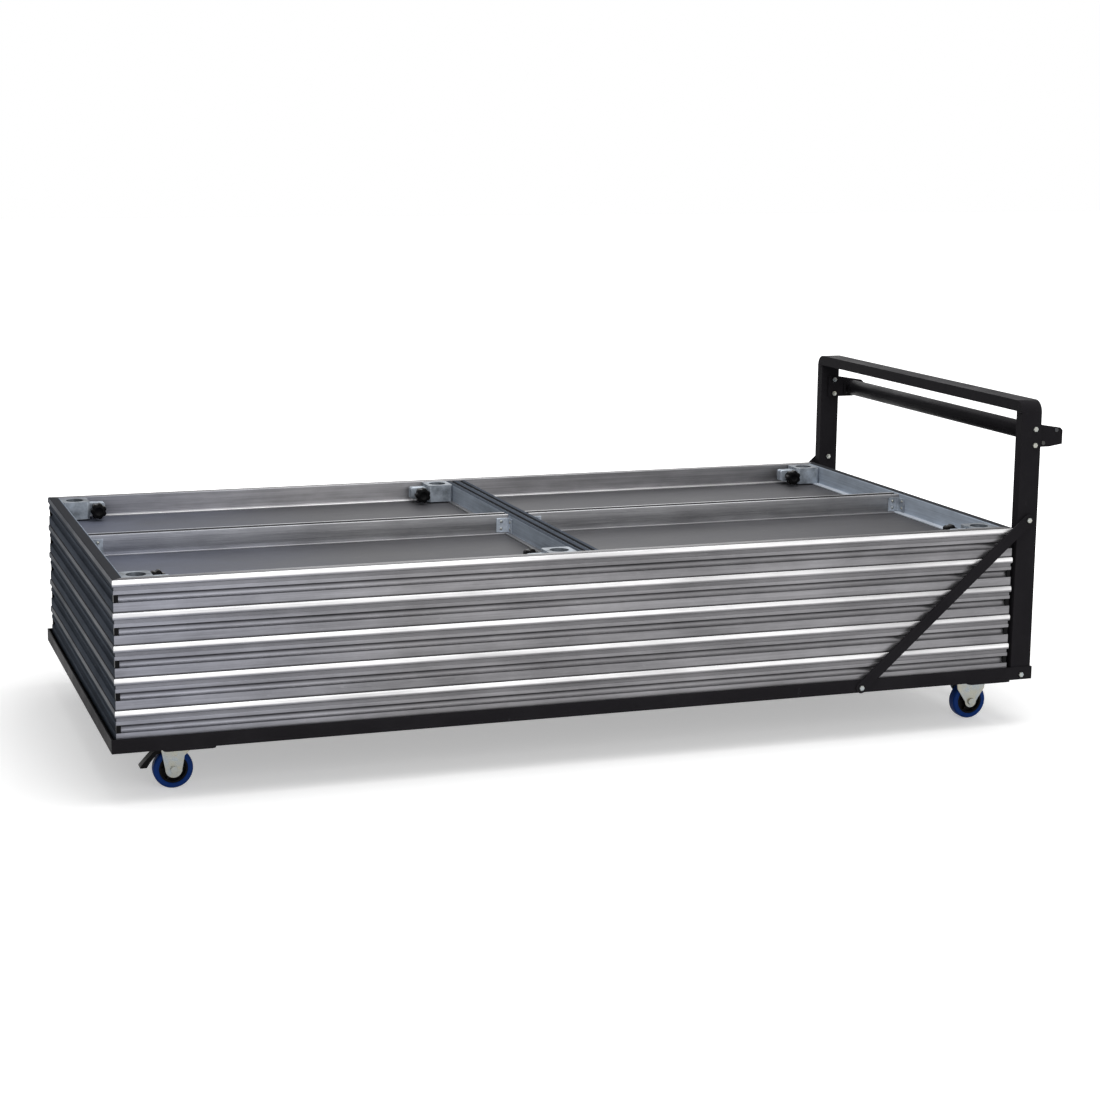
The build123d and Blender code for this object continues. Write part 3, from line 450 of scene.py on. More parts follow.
def extruded_aluminium(tree, tint, inner_light_gain, areas):
    """Extrusion with die lines along each bar, bruises and stains, painted highlights and painted
    shade.

    The areas say where bars run across the deck, which are painted darker and bluer as shade and
    paler on their inner faces as light, and where the inner faces, painted highlights and painted
    shade are. The inner light gain is how much paler, as painted light, the bars along the deck
    are on their inner faces.
    """
    look = finishes()
    across, inner, bright, painted_shade = areas(tree, height_in_deck(tree))
    stretch = 0.012
    along_bar = tree.mix(
        across, tree.scaled((stretch, 1.0, 1.0)), tree.scaled((1.0, stretch, 1.0)), "VECTOR"
    )
    die_lines = tree.noise(scale=420.0, detail=4.0, roughness=0.65, place=along_bar)
    wide_lines = tree.noise(scale=90.0, detail=2.0, place=along_bar)
    stains = tree.noise(scale=4.0, detail=5.0, roughness=0.65, place=tree.scaled((1.0, 1.0, 2.5)))
    scuffs = tree.noise(scale=55.0, detail=6.0, roughness=0.75, place=tree.scaled((0.6, 1.0, 2.2)))
    level = tree.math(
        "ADD", tree.spread(die_lines, 0.84, 1.14), tree.spread(wide_lines, -0.10, 0.10),
        tree.remap(stains, 0.35, 0.7, -0.20, 0.16),
    )
    # Painted light: the bars along the deck are paler on their inner faces
    lengthwise_light_and_shade = tree.mix(inner, rgba(tint), rgba(tint, inner_light_gain))
    # Painted shade on the outer faces of the bars across, and painted light on their inner faces
    across_light_and_shade = tree.mix(inner, rgba(look.shaded_end_grey), rgba(look.lit_inside_grey))
    plain = tree.mix(across, lengthwise_light_and_shade, across_light_and_shade)
    # Painted pale blue reflection towards the far end of the bars along the deck
    sheen = tree.times(far_sheen(tree, 0.45), tree.choose(across, 1.0, 0.0))
    sheened = tree.mix(sheen, plain, rgba(tint, (1.12, 1.2, 1.42)))
    bruises = tree.times(
        tree.remap(scuffs, 0.60, 0.74, 0.0, 0.35),
        tree.choose(across, 1.0, 0.4),
    )
    bruised = tree.mix(bruises, tree.shade(sheened, level), rgba(tint, 1.7))
    # Painted highlight, weaker on the bars across and broken by stains
    edges = tree.times(
        bright, tree.choose(across, 1.0, 0.25),
        tree.remap(stains, 0.35, 0.6, 0.8, 1.0),
    )
    highlight_tint = tree.shade(rgba(look.lip_highlight_white), tree.spread(die_lines, 0.84, 1.06))
    highlighted = tree.mix(edges, bruised, highlight_tint)
    # Painted shade darkens the colour where its mask lies
    shaded_colour = tree.mix(tree.times(painted_shade, 0.8), highlighted, rgba(tint, 0.16))
    rough = tree.math("ADD", tree.spread(die_lines, 0.34, 0.46), tree.choose(across, 0.0, 0.12))
    return tree.finish(
        Base_Color=shaded_colour, Metallic=tree.choose(across, 0.85, 0.08), Roughness=rough,
        Specular_IOR_Level=0.0, Normal=tree.bump(scuffs, 0.03, tree.bump(die_lines, 0.05)),
    )


def cast_aluminium(tree, tint, knob_tint=None):
    """Sand cast aluminium: fine grain and soft pitting, dirt on the tops and painted shade in the
    leg bores.

    The knobs of the lower decks are one node with the clamps, and take the tint of the knobs
    where they stand out of the clamps towards the deck's middle.
    """
    deck, clamps, inset = Span("top_deck_frame"), Span("top_deck_leg_clamps"), CLAMP_HALF * MM
    at_cross_rail = deck.middle[0] - (CROSS_HALF + JOINT_GAP) * MM - inset
    bores = (clamps.low[0] + inset, at_cross_rail, clamps.high[0] - inset)
    bore_y = clamps.high[1] - inset
    beside = tree.math("ABSOLUTE", tree.axes["Y"])
    off_x = tree.math("MINIMUM", *[tree.distance(tree.axes["X"], at) for at in bores])
    off_y = tree.math("SUBTRACT", beside, bore_y)
    squares = [tree.times(off, off) for off in (off_x, off_y)]
    from_bore = tree.math("SQRT", tree.math("ADD", *squares))
    inside = tree.below(from_bore, BORE_RADIUS - 0.25, BORE_RADIUS + 0.55)
    grain = tree.noise(scale=900.0, detail=4.0, roughness=0.7)
    pits = tree.noise(scale=160.0, roughness=0.6)
    clouds = tree.noise(scale=22.0)
    on_top = tree.above(height_in_deck(tree), RAIL_TOP - 1.2, RAIL_TOP - 0.2)
    cloudy, pitted = tree.remap(clouds, 0.35, 0.65, 0.55, 1.25), tree.spread(pits, -0.12, 0.12)
    level = tree.times(tree.math("ADD", cloudy, pitted), tree.choose(on_top, 1.0, 0.55))
    # Painted shade: the leg bores are nearly black inside
    base = tree.mix(inside, tree.shade(rgba(tint), level), rgba((0.008, 0.009, 0.012)))
    metal = 0.6
    if knob_tint:
        knob_start = bore_y - (CLAMP_HALF + CLAMP_KNOB_GAP / 2) * MM
        knob = tree.remap(beside, knob_start - 0.3 * MM, knob_start, 1.0, 0.0)
        base = tree.mix(knob, base, rgba(knob_tint))
        metal = tree.choose(knob, metal, 0.0)
    return tree.finish(
        Base_Color=base, Metallic=metal, Roughness=tree.spread(grain, 0.42, 0.6),
        Specular_IOR_Level=0.1, Normal=tree.bump(grain, 0.12, tree.bump(pits, 0.15)),
    )


def film_board(tree, tint):
    """Film faced board: smooth dark film with rubbed patches and fine scratches, and a painted
    pale blue reflection towards the far end.
    """
    clouds = tree.noise(scale=6.0, detail=5.0, roughness=0.65, place=tree.scaled((0.7, 1.0, 1.0)))
    scratches = tree.noise(scale=160.0, roughness=0.6, place=tree.scaled((0.05, 1.0, 1.0)))
    grain = tree.noise(scale=600.0, detail=2.0)
    scratched = tree.remap(scratches, 0.62, 0.72, 0.0, 0.35)
    level = tree.math("ADD", tree.spread(clouds, 0.75, 1.3), scratched)
    # Painted pale blue reflection on the board towards the far end
    base = tree.mix(far_sheen(tree, 0.8), rgba(tint), rgba(tint, (1.35, 1.5, 1.9)))
    return tree.finish(
        Base_Color=tree.shade(base, level), Roughness=tree.spread(clouds, 0.55, 0.7),
        Specular_IOR_Level=0.2, Normal=tree.bump(grain, 0.05),
    )


def powder_coat(tree, tint):
    """Powder coated steel: fine orange peel, dust in places and small grey rubs."""
    peel = tree.noise(scale=700.0)
    dust = tree.noise(scale=9.0, detail=5.0, roughness=0.6)
    rubs = tree.noise(scale=38.0, detail=7.0, roughness=0.8, place=tree.scaled((1.0, 1.0, 0.4)))
    dust_grey, rub_grey = rgba((0.03, 0.029, 0.032)), rgba((0.10, 0.10, 0.11))
    dusty = tree.mix(tree.remap(dust, 0.45, 0.75, 0.0, 0.25), rgba(tint), dust_grey)
    worn = tree.mix(tree.remap(rubs, 0.66, 0.76, 0.0, 0.5), dusty, rub_grey)
    return tree.finish(
        Base_Color=worn, Roughness=tree.spread(dust, 0.34, 0.5), Specular_IOR_Level=0.01,
        Normal=tree.bump(peel, 0.07),
    )


def zinc_plate(tree, tint):
    """Zinc plated steel: bright, with faint blue and yellow clouds and dull spots."""
    clouds = tree.noise(scale=45.0, detail=4.0, roughness=0.6)
    spots = tree.noise(scale=260.0, detail=4.0, roughness=0.7)
    warm, cool = rgba(tint, (1.05, 1.0, 0.86)), rgba(tint, (0.9, 0.98, 1.08))
    return tree.finish(
        Base_Color=tree.mix(tree.remap(clouds, 0.35, 0.65, 0.0, 1.0), cool, warm),
        Metallic=0.9, Roughness=tree.remap(spots, 0.35, 0.7, 0.24, 0.42),
        Normal=tree.bump(spots, 0.04),
    )


def rubber(tree, tint):
    """Elastic rubber: even colour with a dusty tread and a fine moulded grain."""
    grain = tree.noise(scale=1200.0, detail=2.0)
    dust = tree.noise(scale=40.0, detail=4.0, roughness=0.6)
    dusty_blue = rgba((0.015, 0.045, 0.14))
    return tree.finish(
        Base_Color=tree.mix(tree.remap(dust, 0.45, 0.8, 0.0, 0.3), rgba(tint), dusty_blue),
        Roughness=tree.spread(dust, 0.42, 0.6), Specular_IOR_Level=0.12,
        Normal=tree.bump(grain, 0.04),
    )


def moulded_plastic(tree, tint):
    """Moulded black plastic with a fine spark eroded grain."""
    grain = tree.noise(scale=1400.0, roughness=0.6)
    clouds = tree.noise(scale=60.0)
    return tree.finish(
        Base_Color=tree.shade(rgba(tint), tree.spread(clouds, 0.8, 1.5)),
        Roughness=tree.spread(clouds, 0.3, 0.42), Specular_IOR_Level=0.06,
        Normal=tree.bump(grain, 0.05),
    )


def finishes():
    """The colours of this scene's finishes."""
    return bpy.context.scene.trolley_finishes


def material(name, maker, *values):
    """The material of that name, made when it is first asked for."""
    materials = bpy.data.materials
    return materials.get(name) or maker(Tree(materials.new(name)), *values)


def coat():
    """Powder coat of the trolley."""
    return material("black_powder_coat", powder_coat, finishes().coat_black)


def zinc():
    """Zinc plating of bolts, castors and screws."""
    return material("zinc_plate", zinc_plate, finishes().zinc_grey)


def plastic():
    """Plastic of knobs, hubs, pedals and plugs."""
    return material("moulded_plastic", moulded_plastic, finishes().plastic_black)


def soften(node, width):
    """Rounds the sharp edges of a CAD node.

    Its loose triangles are first joined, and then those that lie flat are made one face.
    """
    weld = node.modifiers.new("join", "WELD")
    weld.merge_threshold = 0.01 * MM
    faces = node.modifiers.new("faces", "DECIMATE")
    faces.decimate_type = "DISSOLVE"
    faces.angle_limit = math.radians(1)
    edge = node.modifiers.new("edges", "BEVEL")
    edge.width = width
    edge.segments = 2
    edge.limit_method = "ANGLE"
    edge.angle_limit = SHARP_ANGLE
    edge.harden_normals = True


def dress(nodes, finish, edge_width=0):
    """Gives CAD nodes a material, and rounds their edges by a width in millimetres."""
    for name in nodes:
        node = NODES[name]
        node.data.materials.clear()
        node.data.materials.append(finish)
        if edge_width:
            soften(node, edge_width * MM)


# Meshes


def add_object(name, data):
    """New object in the scene, with its mesh, lamp or camera."""
    added = bpy.data.objects.new(name, data)
    bpy.context.scene.collection.objects.link(added)
    return added


def patch(points, wrap_rows=False, capped=False):
    """Corners and faces of a grid of points, whose rows are rings.

    The last row joins the first where the rows wrap, and caps close the two end rings.
    """
    rows, columns = points.shape[:2]
    number = np.arange(rows * columns).reshape(rows, columns)
    caps = [number[0, ::-1].tolist(), number[-1].tolist()] if capped else []
    if wrap_rows:
        number = np.vstack([number, number[:1]])
    number = np.hstack([number, number[:, :1]])
    corners = (number[:-1, :-1], number[:-1, 1:], number[1:, 1:], number[1:, :-1])
    return points.reshape(-1, 3), np.stack(corners, axis=-1).reshape(-1, 4), caps


def rounded(corners):
    """Closed outline with rounded corners, each given as across, height and radius in mm.

    A corner becomes a curve from a point before it to a point after it, both its radius away:
    (1 - t) squared times the first, 2 t (1 - t) times the corner and t squared times the last.
    """
    corners = np.array(corners, float) * MM
    radii, corners = corners[:, 2:], corners[:, :2]
    before = np.roll(corners, 1, 0) - corners
    after = np.roll(corners, -1, 0) - corners
    start = corners + radii * before / np.linalg.norm(before, axis=1, keepdims=True)
    end = corners + radii * after / np.linalg.norm(after, axis=1, keepdims=True)
    t = np.linspace(0, 1, 4)[None, :, None]
    to_corner = (1 - t) ** 2 * start[:, None] + 2 * t * (1 - t) * corners[:, None]
    outline = (to_corner + t**2 * end[:, None]).reshape(-1, 2)
    same_point = 0.001 * MM
    return outline[np.linalg.norm(outline - np.roll(outline, 1, 0), axis=1) > same_point]


def shrunk(outline, ease):
    """Outline moved inwards by the ease, along its normals."""
    ahead = np.roll(outline, -1, 0) - np.roll(outline, 1, 0)
    outward = np.stack([ahead[:, 1], -ahead[:, 0]], -1)
    outward /= np.linalg.norm(outward, axis=1, keepdims=True)
    (x, y), (next_x, next_y) = outline.T, np.roll(outline, -1, 0).T
    return outline - ease * np.sign(np.sum(x * next_y - y * next_x)) * outward


def bar(outline, start, end, place):
    """Extruded bar with eased ends.

    The shrunk outline stands at each end and the full outline an ease further in. Start and end
    give each point's place along the bar, and place turns along, across and height into X, Y
    and Z.
    """
    ease, face_step = 0.4 * MM, 0.05 * MM
    small = shrunk(outline, ease)
    stations = [
        (start, small, face_step), (start, outline, ease), (end, outline, -ease),
        (end, small, -face_step),
    ]
    rows = [place(at(section) + back, *section.T) for at, section, back in stations]
    grid = np.stack([np.stack(np.broadcast_arrays(*row), -1) for row in rows])
    return patch(grid, capped=True)


def square_end(at):
    """End of a bar that is cut square: every point is at one place along the bar."""
    return lambda section: at + 0 * section[:, 0]


def mitred_end(at):
    """End of a bar that is mitred: a point is as far short of the corner as it is inward."""
    return lambda section: at - np.sign(at) * section[:, 0]


def square_bar(outline, start, end, place):
    """Extruded bar that is cut square at both ends."""
    return bar(outline, square_end(start), square_end(end), place)


def build(name, groups, materials, body, node=None):
    """One closed smooth piece from groups of patches, a group for each of its materials."""
    start, corners, faces, numbers = 0, [], [], []
    for number, group in enumerate(groups):
        for points, quads, caps in group:
            corners.append(points)
            faces += (quads + start).tolist() + [[start + at for at in cap] for cap in caps]
            numbers += [number] * (len(quads) + len(caps))
            start += len(points)
    mesh = bpy.data.meshes.new(name)
    mesh.from_pydata(np.vstack(corners).tolist(), [], faces)
    mesh.polygons.foreach_set("material_index", numbers)
    for finish in materials:
        mesh.materials.append(finish)
    work = bmesh.new()
    work.from_mesh(mesh)
    bmesh.ops.remove_doubles(work, verts=work.verts, dist=0.01 * MM)
    bmesh.ops.recalc_face_normals(work, faces=work.faces)
    work.to_mesh(mesh)
    work.free()
    mesh.polygons.foreach_set("use_smooth", np.ones(len(mesh.polygons), bool))
    mesh.set_sharp_from_angle(angle=SHARP_ANGLE)
    piece = add_object(name, mesh)
    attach(piece, body)
    if node:
        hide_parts(node)


def arc(centre, radius, start, end, steps):
    """Points of an arc in a profile: centre plus radius times cosine and sine, in degrees."""
    turn = np.radians(np.linspace(start, end, steps))
    return np.stack([centre[0] + radius * np.cos(turn), centre[1] + radius * np.sin(turn)], -1)


def turned(profile, centre, way, steps, shape=None):
    """Grid of a profile turned about an axis along Y.

    A point is the centre plus way times its height along Y, plus its radius times the cosine
    and sine of the turn along X and Z. The radius is first changed by shape, if one is given.
    """
    turn = np.linspace(0, 2 * np.pi, steps, endpoint=False)[None, :]
    radius = np.broadcast_to(profile[:, :1], (len(profile), steps))
    if shape is not None:
        radius = shape(radius, profile[:, 1:], turn)
    x = centre[0] + radius * np.cos(turn)
    y = centre[1] + way * profile[:, 1:] + 0 * radius
    z = centre[2] + radius * np.sin(turn)
    return np.stack([x, y, z], -1)


def grip_profile(sizes, outer, total):
    """Profile of a knob's neck and grip, as radius and height.

    From the neck's end up the neck to the grip, over its two rounded edges and down into the
    dish in its cap.
    """
    neck, edge = sizes.neck_radius * MM, sizes.edge_round * MM
    start = total - sizes.grip_length * MM
    neck_start, throat = start - sizes.neck_length * MM, start - KNOB_THROAT
    dish_round, cap, dish = 2 * MM, total - 0.4 * MM, total - 2.6 * MM
    return np.vstack([
        [[0, neck_start], [neck, neck_start], [neck, throat]],
        arc((outer - edge, start + edge), edge, -90, 0, 6),
        arc((outer - edge, total - edge), edge, 0, 78, 7),
        [[outer - 2 * edge, cap]],
        arc((outer - 2.2 * edge, cap - 0.9 * dish_round), dish_round, 80, 150, 4),
        [[0.6 * neck, dish], [0, dish]],
    ])


def plate_profile(half, thickness):
    """Profile of a nut plate with eased edges, as radius and height."""
    ease = 0.8 * MM
    return np.array([
        [0, 0], [half - ease, 0], [half, ease], [half, thickness - ease],
        [half - ease, thickness], [0, thickness],
    ])


def squared(radius, height, turn):
    """Radius of a rounded square: the half width divided by the 8-norm of cosine and sine."""
    power = 8
    return radius / (np.abs(np.cos(turn)) ** power + np.abs(np.sin(turn)) ** power) ** (1 / power)


def knob(place):
    """Fluted knob, its threaded screw and its nut plate, in place of the plain ones.

    The grip's radius falls by the flute depth times half of one plus the cosine of the turn
    times the number of flutes, raised to a power that keeps the ribs between them broad. The
    screw's radius falls by the thread depth times a triangle wave, which rises by one pitch with
    each turn.
    """
    sizes = bpy.context.scene.trolley_knobs
    box = Span("clamp_knob_" + place)
    way = 1 if place.endswith("front") else -1
    tail = box.low[1] if way > 0 else box.high[1]
    centre = (box.middle[0], tail, box.middle[2])
    total, outer = 2 * box.half[1], box.half[2]
    neck, screw = sizes.neck_radius * MM, sizes.screw_radius * MM
    pitch, plate = sizes.thread_pitch * MM, sizes.plate_thickness * MM
    flute_power, steps_per_flute, rows_per_turn = 1.6, 16, 10

    def fluted(radius, height, turn):
        wave = (0.5 + 0.5 * np.cos(sizes.flutes * turn)) ** flute_power
        reach = np.clip((radius - neck) / (outer - neck), 0, 1)
        return radius - sizes.flute_depth * MM * wave * reach

    def threaded(radius, height, turn):
        wave = np.abs(2 * ((height / pitch - turn / (2 * np.pi)) % 1) - 1)
        return np.where(radius > 0, radius - sizes.thread_depth * MM * wave, radius)

    profile = grip_profile(sizes, outer, total)
    grip = turned(profile, centre, way, steps_per_flute * sizes.flutes, fluted)
    rod_start, rod_end = plate / 2, total - sizes.grip_length * MM - KNOB_THROAT
    rows = np.linspace(rod_start, rod_end, int(rod_end / pitch * rows_per_turn))
    rod = np.vstack([[0, rod_start], np.stack([screw + 0 * rows, rows], -1), [0, rod_end]])
    thread = turned(rod, centre, way, 24, threaded)
    nut_plate = turned(plate_profile(sizes.plate_half * MM, plate), centre, way, 64, squared)
    build(
        "knob_" + place, [[patch(grip)], [patch(thread), patch(nut_plate)]], [plastic(), zinc()],
        "knob_" + place, "clamp_knob_" + place,
    )


def tyre(place):
    """Tyre with a crowned tread, round shoulders, dished sides and a moulding line.

    The profile goes from the bead up one side, over the tread and down the other side, and is
    turned about the axle. The tread falls from its crown with the square of the place across.
    """
    sizes = bpy.context.scene.trolley_tyres
    box = Span("tyre_" + place)
    half, outer = box.half[1:]
    inner = outer - sizes.depth * MM
    shoulder, crown = sizes.shoulder * MM, sizes.crown * MM
    bead_ring = np.array([[0, -1.2], [1.0, -0.2], [2.6, -0.2], [3.4, -0.9]]) * MM
    round_edge = arc((outer - crown - shoulder, half - shoulder), shoulder, 84, 8, 10)
    tread_y = np.linspace(half - shoulder * 0.8, 0, 9)[:-1]
    tread = np.stack([outer - crown * (tread_y / half) ** 2, tread_y], -1)
    mould_line = np.array([[-0.05, 0.45], [0, 0.35]]) * MM
    side = np.vstack([bead_ring + [inner, half], round_edge, tread, mould_line + [outer, 0]])
    profile = np.vstack([side, side[::-1] * [1, -1]])
    ring = patch(turned(profile, box.middle, 1, sizes.steps), wrap_rows=True)
    finish = material("tyre_rubber", rubber, finishes().tyre_blue)
    build(
        "tyre_ring_" + place, [[ring]], [finish], "wheel_" + place, "tyre_" + place
    )


def bead(start, end):
    """Rippled weld bead between two points.

    Round the line from start to end lies a circle whose radius is the bead's radius times one
    plus the ripple share times a saw wave along the line, and it closes to a point at each end.
    """
    sizes = bpy.context.scene.trolley_welds
    start, end = np.array(start), np.array(end)
    reach = np.linalg.norm(end - start)
    direction = (end - start) / reach
    aslant = [0.3, 0.5, 0.81]
    aside = np.cross(direction, aslant)
    aside /= np.linalg.norm(aside)
    upward = np.cross(direction, aside)
    pitch, full = sizes.ripple_pitch * MM, sizes.radius * MM
    along = np.linspace(0, reach, max(8, int(reach / pitch * 4)))
    wave = (along / pitch) % 1
    taper = np.clip(np.minimum(along, reach - along) / (2 * full), 0, 1) ** 0.5
    radius = full * taper * (1 + sizes.ripple_share * (wave - 0.5))
    turn = np.linspace(0, 2 * np.pi, 10, endpoint=False)[None, :, None]
    circle = np.cos(turn) * aside + np.sin(turn) * upward
    return patch(start + along[:, None, None] * direction + radius[:, None, None] * circle)


def frame_welds():
    """Weld beads where the frame's rails, posts and bearers meet, placed by their boxes."""
    ends, bearers = Span("end_rails"), Span("deck_bearers")
    lines = []
    for side, post in ((-1, Span("post_front")), (1, Span("post_back"))):
        inner = side * (ends.high[1] - ANGLE_WALL)
        for x in (ends.low[0] + ANGLE_WALL, ends.high[0] - ANGLE_WALL):
            lines.append([(x, inner, ends.low[2] + ANGLE_WALL), (x, inner, ends.high[2])])
        inside, outside = (post.low[1], post.high[1])[::side]
        near, far = post.low[0], post.high[0]
        foot, top = post.low[2], post.high[2]
        lines += [
            [(near, inside, foot), (far, inside, foot)],
            [(near, post.low[1], foot), (near, post.high[1], foot)],
            [(near, inside, top), (far, inside, top)],
            [(near, inside, top), (near, outside, top)],
        ]
    leg_edge, foot = ends.high[1] - ANGLE_LEG, bearers.low[2]
    for x in np.linspace(bearers.low[0], bearers.high[0] - BEARER_WIDTH, BEARER_COUNT):
        for side, at in product((-1, 1), (x, x + BEARER_WIDTH)):
            lines.append([(at, side * leg_edge, foot), (at, side * bearers.high[1], foot)])
    beads = [bead(*line) for line in lines]
    build("frame_welds", [beads], [coat()], "trolley")


def groove_circle():
    """Middle and radius in millimetres of the circle that the rim's groove follows.

    The radius is half the groove's width squared plus its depth squared, over twice its depth.
    """
    radius = (GROOVE_HALF**2 + GROOVE_DEPTH**2) / (2 * GROOVE_DEPTH)
    return (RIM_SETBACK + GROOVE_DEPTH - radius, GROOVE_MIDDLE), radius


def rim_outline():
    """Section of a deck's rim.

    From the foot over the face with its round groove and its recess to the lip, over the flat
    top and down the inner face to the flange over the board.
    """
    middle, radius = groove_circle()
    end = math.degrees(math.asin(GROOVE_HALF / radius))
    groove = [(*point, 0) for point in arc(middle, radius, -end, end, 15)[1:-1]]
    face, toe, flange = RIM_SETBACK, RIM_SETBACK + RIM_FOOT, RIM_WIDTH + FLANGE_REACH
    recess = RIM_SETBACK + RECESS_DEPTH
    return rounded([
        (toe, 0, 0.6), (face, 0, 1.5), (face, GROOVE_MIDDLE - GROOVE_HALF, 0.4), *groove,
        (face, GROOVE_MIDDLE + GROOVE_HALF, 0.4), (face, RECESS_FOOT, 0.5),
        (recess, RECESS_FOOT, 0.3), (recess, LIP_FOOT, 0.3), (face, LIP_FOOT, 0.5),
        (0, LIP_FOOT + RIM_SETBACK, 1.2), (0, DECK_DEPTH, LIP_ROUND), (RIM_WIDTH, DECK_DEPTH, 2),
        (RIM_WIDTH, FLANGE_TOP, 1), (flange, FLANGE_TOP, 1.2), (flange, BOARD_TOP, 1.2),
        (toe, BOARD_TOP, 0.6),
    ])


def rim_side(deck, lengthwise, side, end=1):
    """Half the length of one side of a deck's rim, and the function that places its points.

    It turns along, inward and height into X, Y and Z, where along counts towards the end.
    """
    box = Span(deck + "_frame")
    run, out = box.half[:2] if lengthwise else box.half[1::-1]

    def place(along, inward, height):
        forth, beside = end * along, side * (out - inward)
        x, y = (forth, beside) if lengthwise else (beside, forth)
        return box.middle[0] + x, box.middle[1] + y, box.low[2] + height

    return run, place


def rim_bars(deck):
    """Four mitred bars of a deck's rim."""
    bars = []
    for lengthwise, side in product((True, False), (-1, 1)):
        run, place = rim_side(deck, lengthwise, side)
        bars.append(bar(rim_outline(), mitred_end(-run), mitred_end(run), place))
    return bars


def groove_plugs(deck):
    """Plugs that fill the round groove for a short way from each corner of the rim."""
    outline = arc(groove_circle()[0], PLUG_RADIUS, -PLUG_ANGLE, PLUG_ANGLE, 13) * MM
    plugs = []
    for lengthwise, side, end in product((True, False), (-1, 1), (-1, 1)):
        run, place = rim_side(deck, lengthwise, side, end)
        start = square_end(run - PLUG_LENGTH * MM)
        plugs.append(bar(outline, start, mitred_end(run), place))
    return plugs


def rail_outline(half, slots, slot_half):
    """Section of an inner rail's body with slots along its top."""
    cuts = []
    for slot in slots:
        right, left = slot + slot_half, slot - slot_half
        cuts += [
            (right, RAIL_TOP, 0.6), (right, SLOT_FLOOR, 0.6),
            (left, SLOT_FLOOR, 0.6), (left, RAIL_TOP, 0.6),
        ]
    return rounded([
        (-half, FLANGE_TOP, 0.5), (half, FLANGE_TOP, 0.5), (half, RAIL_TOP, 1.2), *cuts,
        (-half, RAIL_TOP, 1.2),
    ])


def foot_outline(half):
    """Section of an inner rail's foot on the board."""
    wide = half + RAIL_FOOT
    low, high = BOARD_TOP, FLANGE_TOP
    return rounded([(-wide, low, 0.8), (wide, low, 0.8), (wide, high, 0.8), (-wide, high, 0.8)])


def inner_rail_bars(deck):
    """Cross rail, two mid rails that butt against it, and their feet on the board."""
    box = Span(deck + "_frame")
    run, out = box.half[:2] - (RIM_WIDTH + JOINT_GAP) * MM
    flange, foot = FLANGE_REACH * MM, RAIL_FOOT * MM

    def across(along, beside, height):
        return box.middle[0] - beside, box.middle[1] + along, box.low[2] + height

    def lengthwise(along, beside, height):
        return box.middle[0] + along, box.middle[1] + beside, box.low[2] + height

    cross_rail = rail_outline(CROSS_HALF, (CROSS_SLOT_PLACE, -CROSS_SLOT_PLACE), CROSS_SLOT_HALF)
    mid_rail = rail_outline(MID_HALF, (0,), MID_SLOT_HALF)
    bars = [
        square_bar(cross_rail, -out, out, across),
        square_bar(foot_outline(CROSS_HALF), flange - out, out - flange, across),
    ]
    near = (CROSS_HALF + JOINT_GAP) * MM
    for start, end, first, last in ((near, run, foot, flange), (-run, -near, flange, foot)):
        bars.append(square_bar(mid_rail, start, end, lengthwise))
        bars.append(square_bar(foot_outline(MID_HALF), start + first, end - last, lengthwise))
    return bars


def cleats(deck):
    """Angle cleats in the corners where the mid rails end, and their domed screws.

    A screw's profile of radius and height is turned about its axis, which stands on the mid
    rail's side or on the face that the rail butts against.
    """
    box = Span(deck + "_frame")
    leg, wall = CLEAT_LEG, CLEAT_WALL
    angle_iron = rounded([
        (0, 0, 0.4), (leg, 0, 1.5), (leg, wall, 1), (wall, wall, 1.5), (wall, leg, 1),
        (0, leg, 1.5),
    ])
    dome = np.array([[0, 2.2], [2.0, 1.9], [3.6, 1.0], [4.4, 0.0], [4.4, -0.3], [0, -0.3]]) * MM
    turn = np.linspace(0, 2 * np.pi, 14, endpoint=False)[None, :]
    first, second = dome[:, :1] * np.cos(turn), dome[:, :1] * np.sin(turn)
    out_of_leg = CLEAT_WALL * MM + dome[:, 1:] + 0 * turn
    along_leg = SCREW_PLACE * MM + first
    at_rim, at_cross = box.half[0] - RIM_WIDTH * MM, CROSS_HALF * MM
    foot = box.low[2] + CLEAT_FOOT * MM
    pieces, screws = [], []
    for (corner, way), side in product(
        ((-at_rim, 1), (-at_cross, -1), (at_cross, 1), (at_rim, -1)), (-1, 1)
    ):

        def place(height, outward, beside):
            x = box.middle[0] + corner + way * outward
            return x, side * (MID_HALF * MM + beside), height

        pieces.append(square_bar(angle_iron, foot, foot + CLEAT_LENGTH * MM, place))
        for height in SCREW_HEIGHTS:
            at = foot + height * MM + second
            on_rail = place(at, along_leg, out_of_leg)
            on_end = place(at, out_of_leg, along_leg)
            screws += [patch(np.stack(points, -1)) for points in (on_rail, on_end)]
    return pieces, screws


# Operators


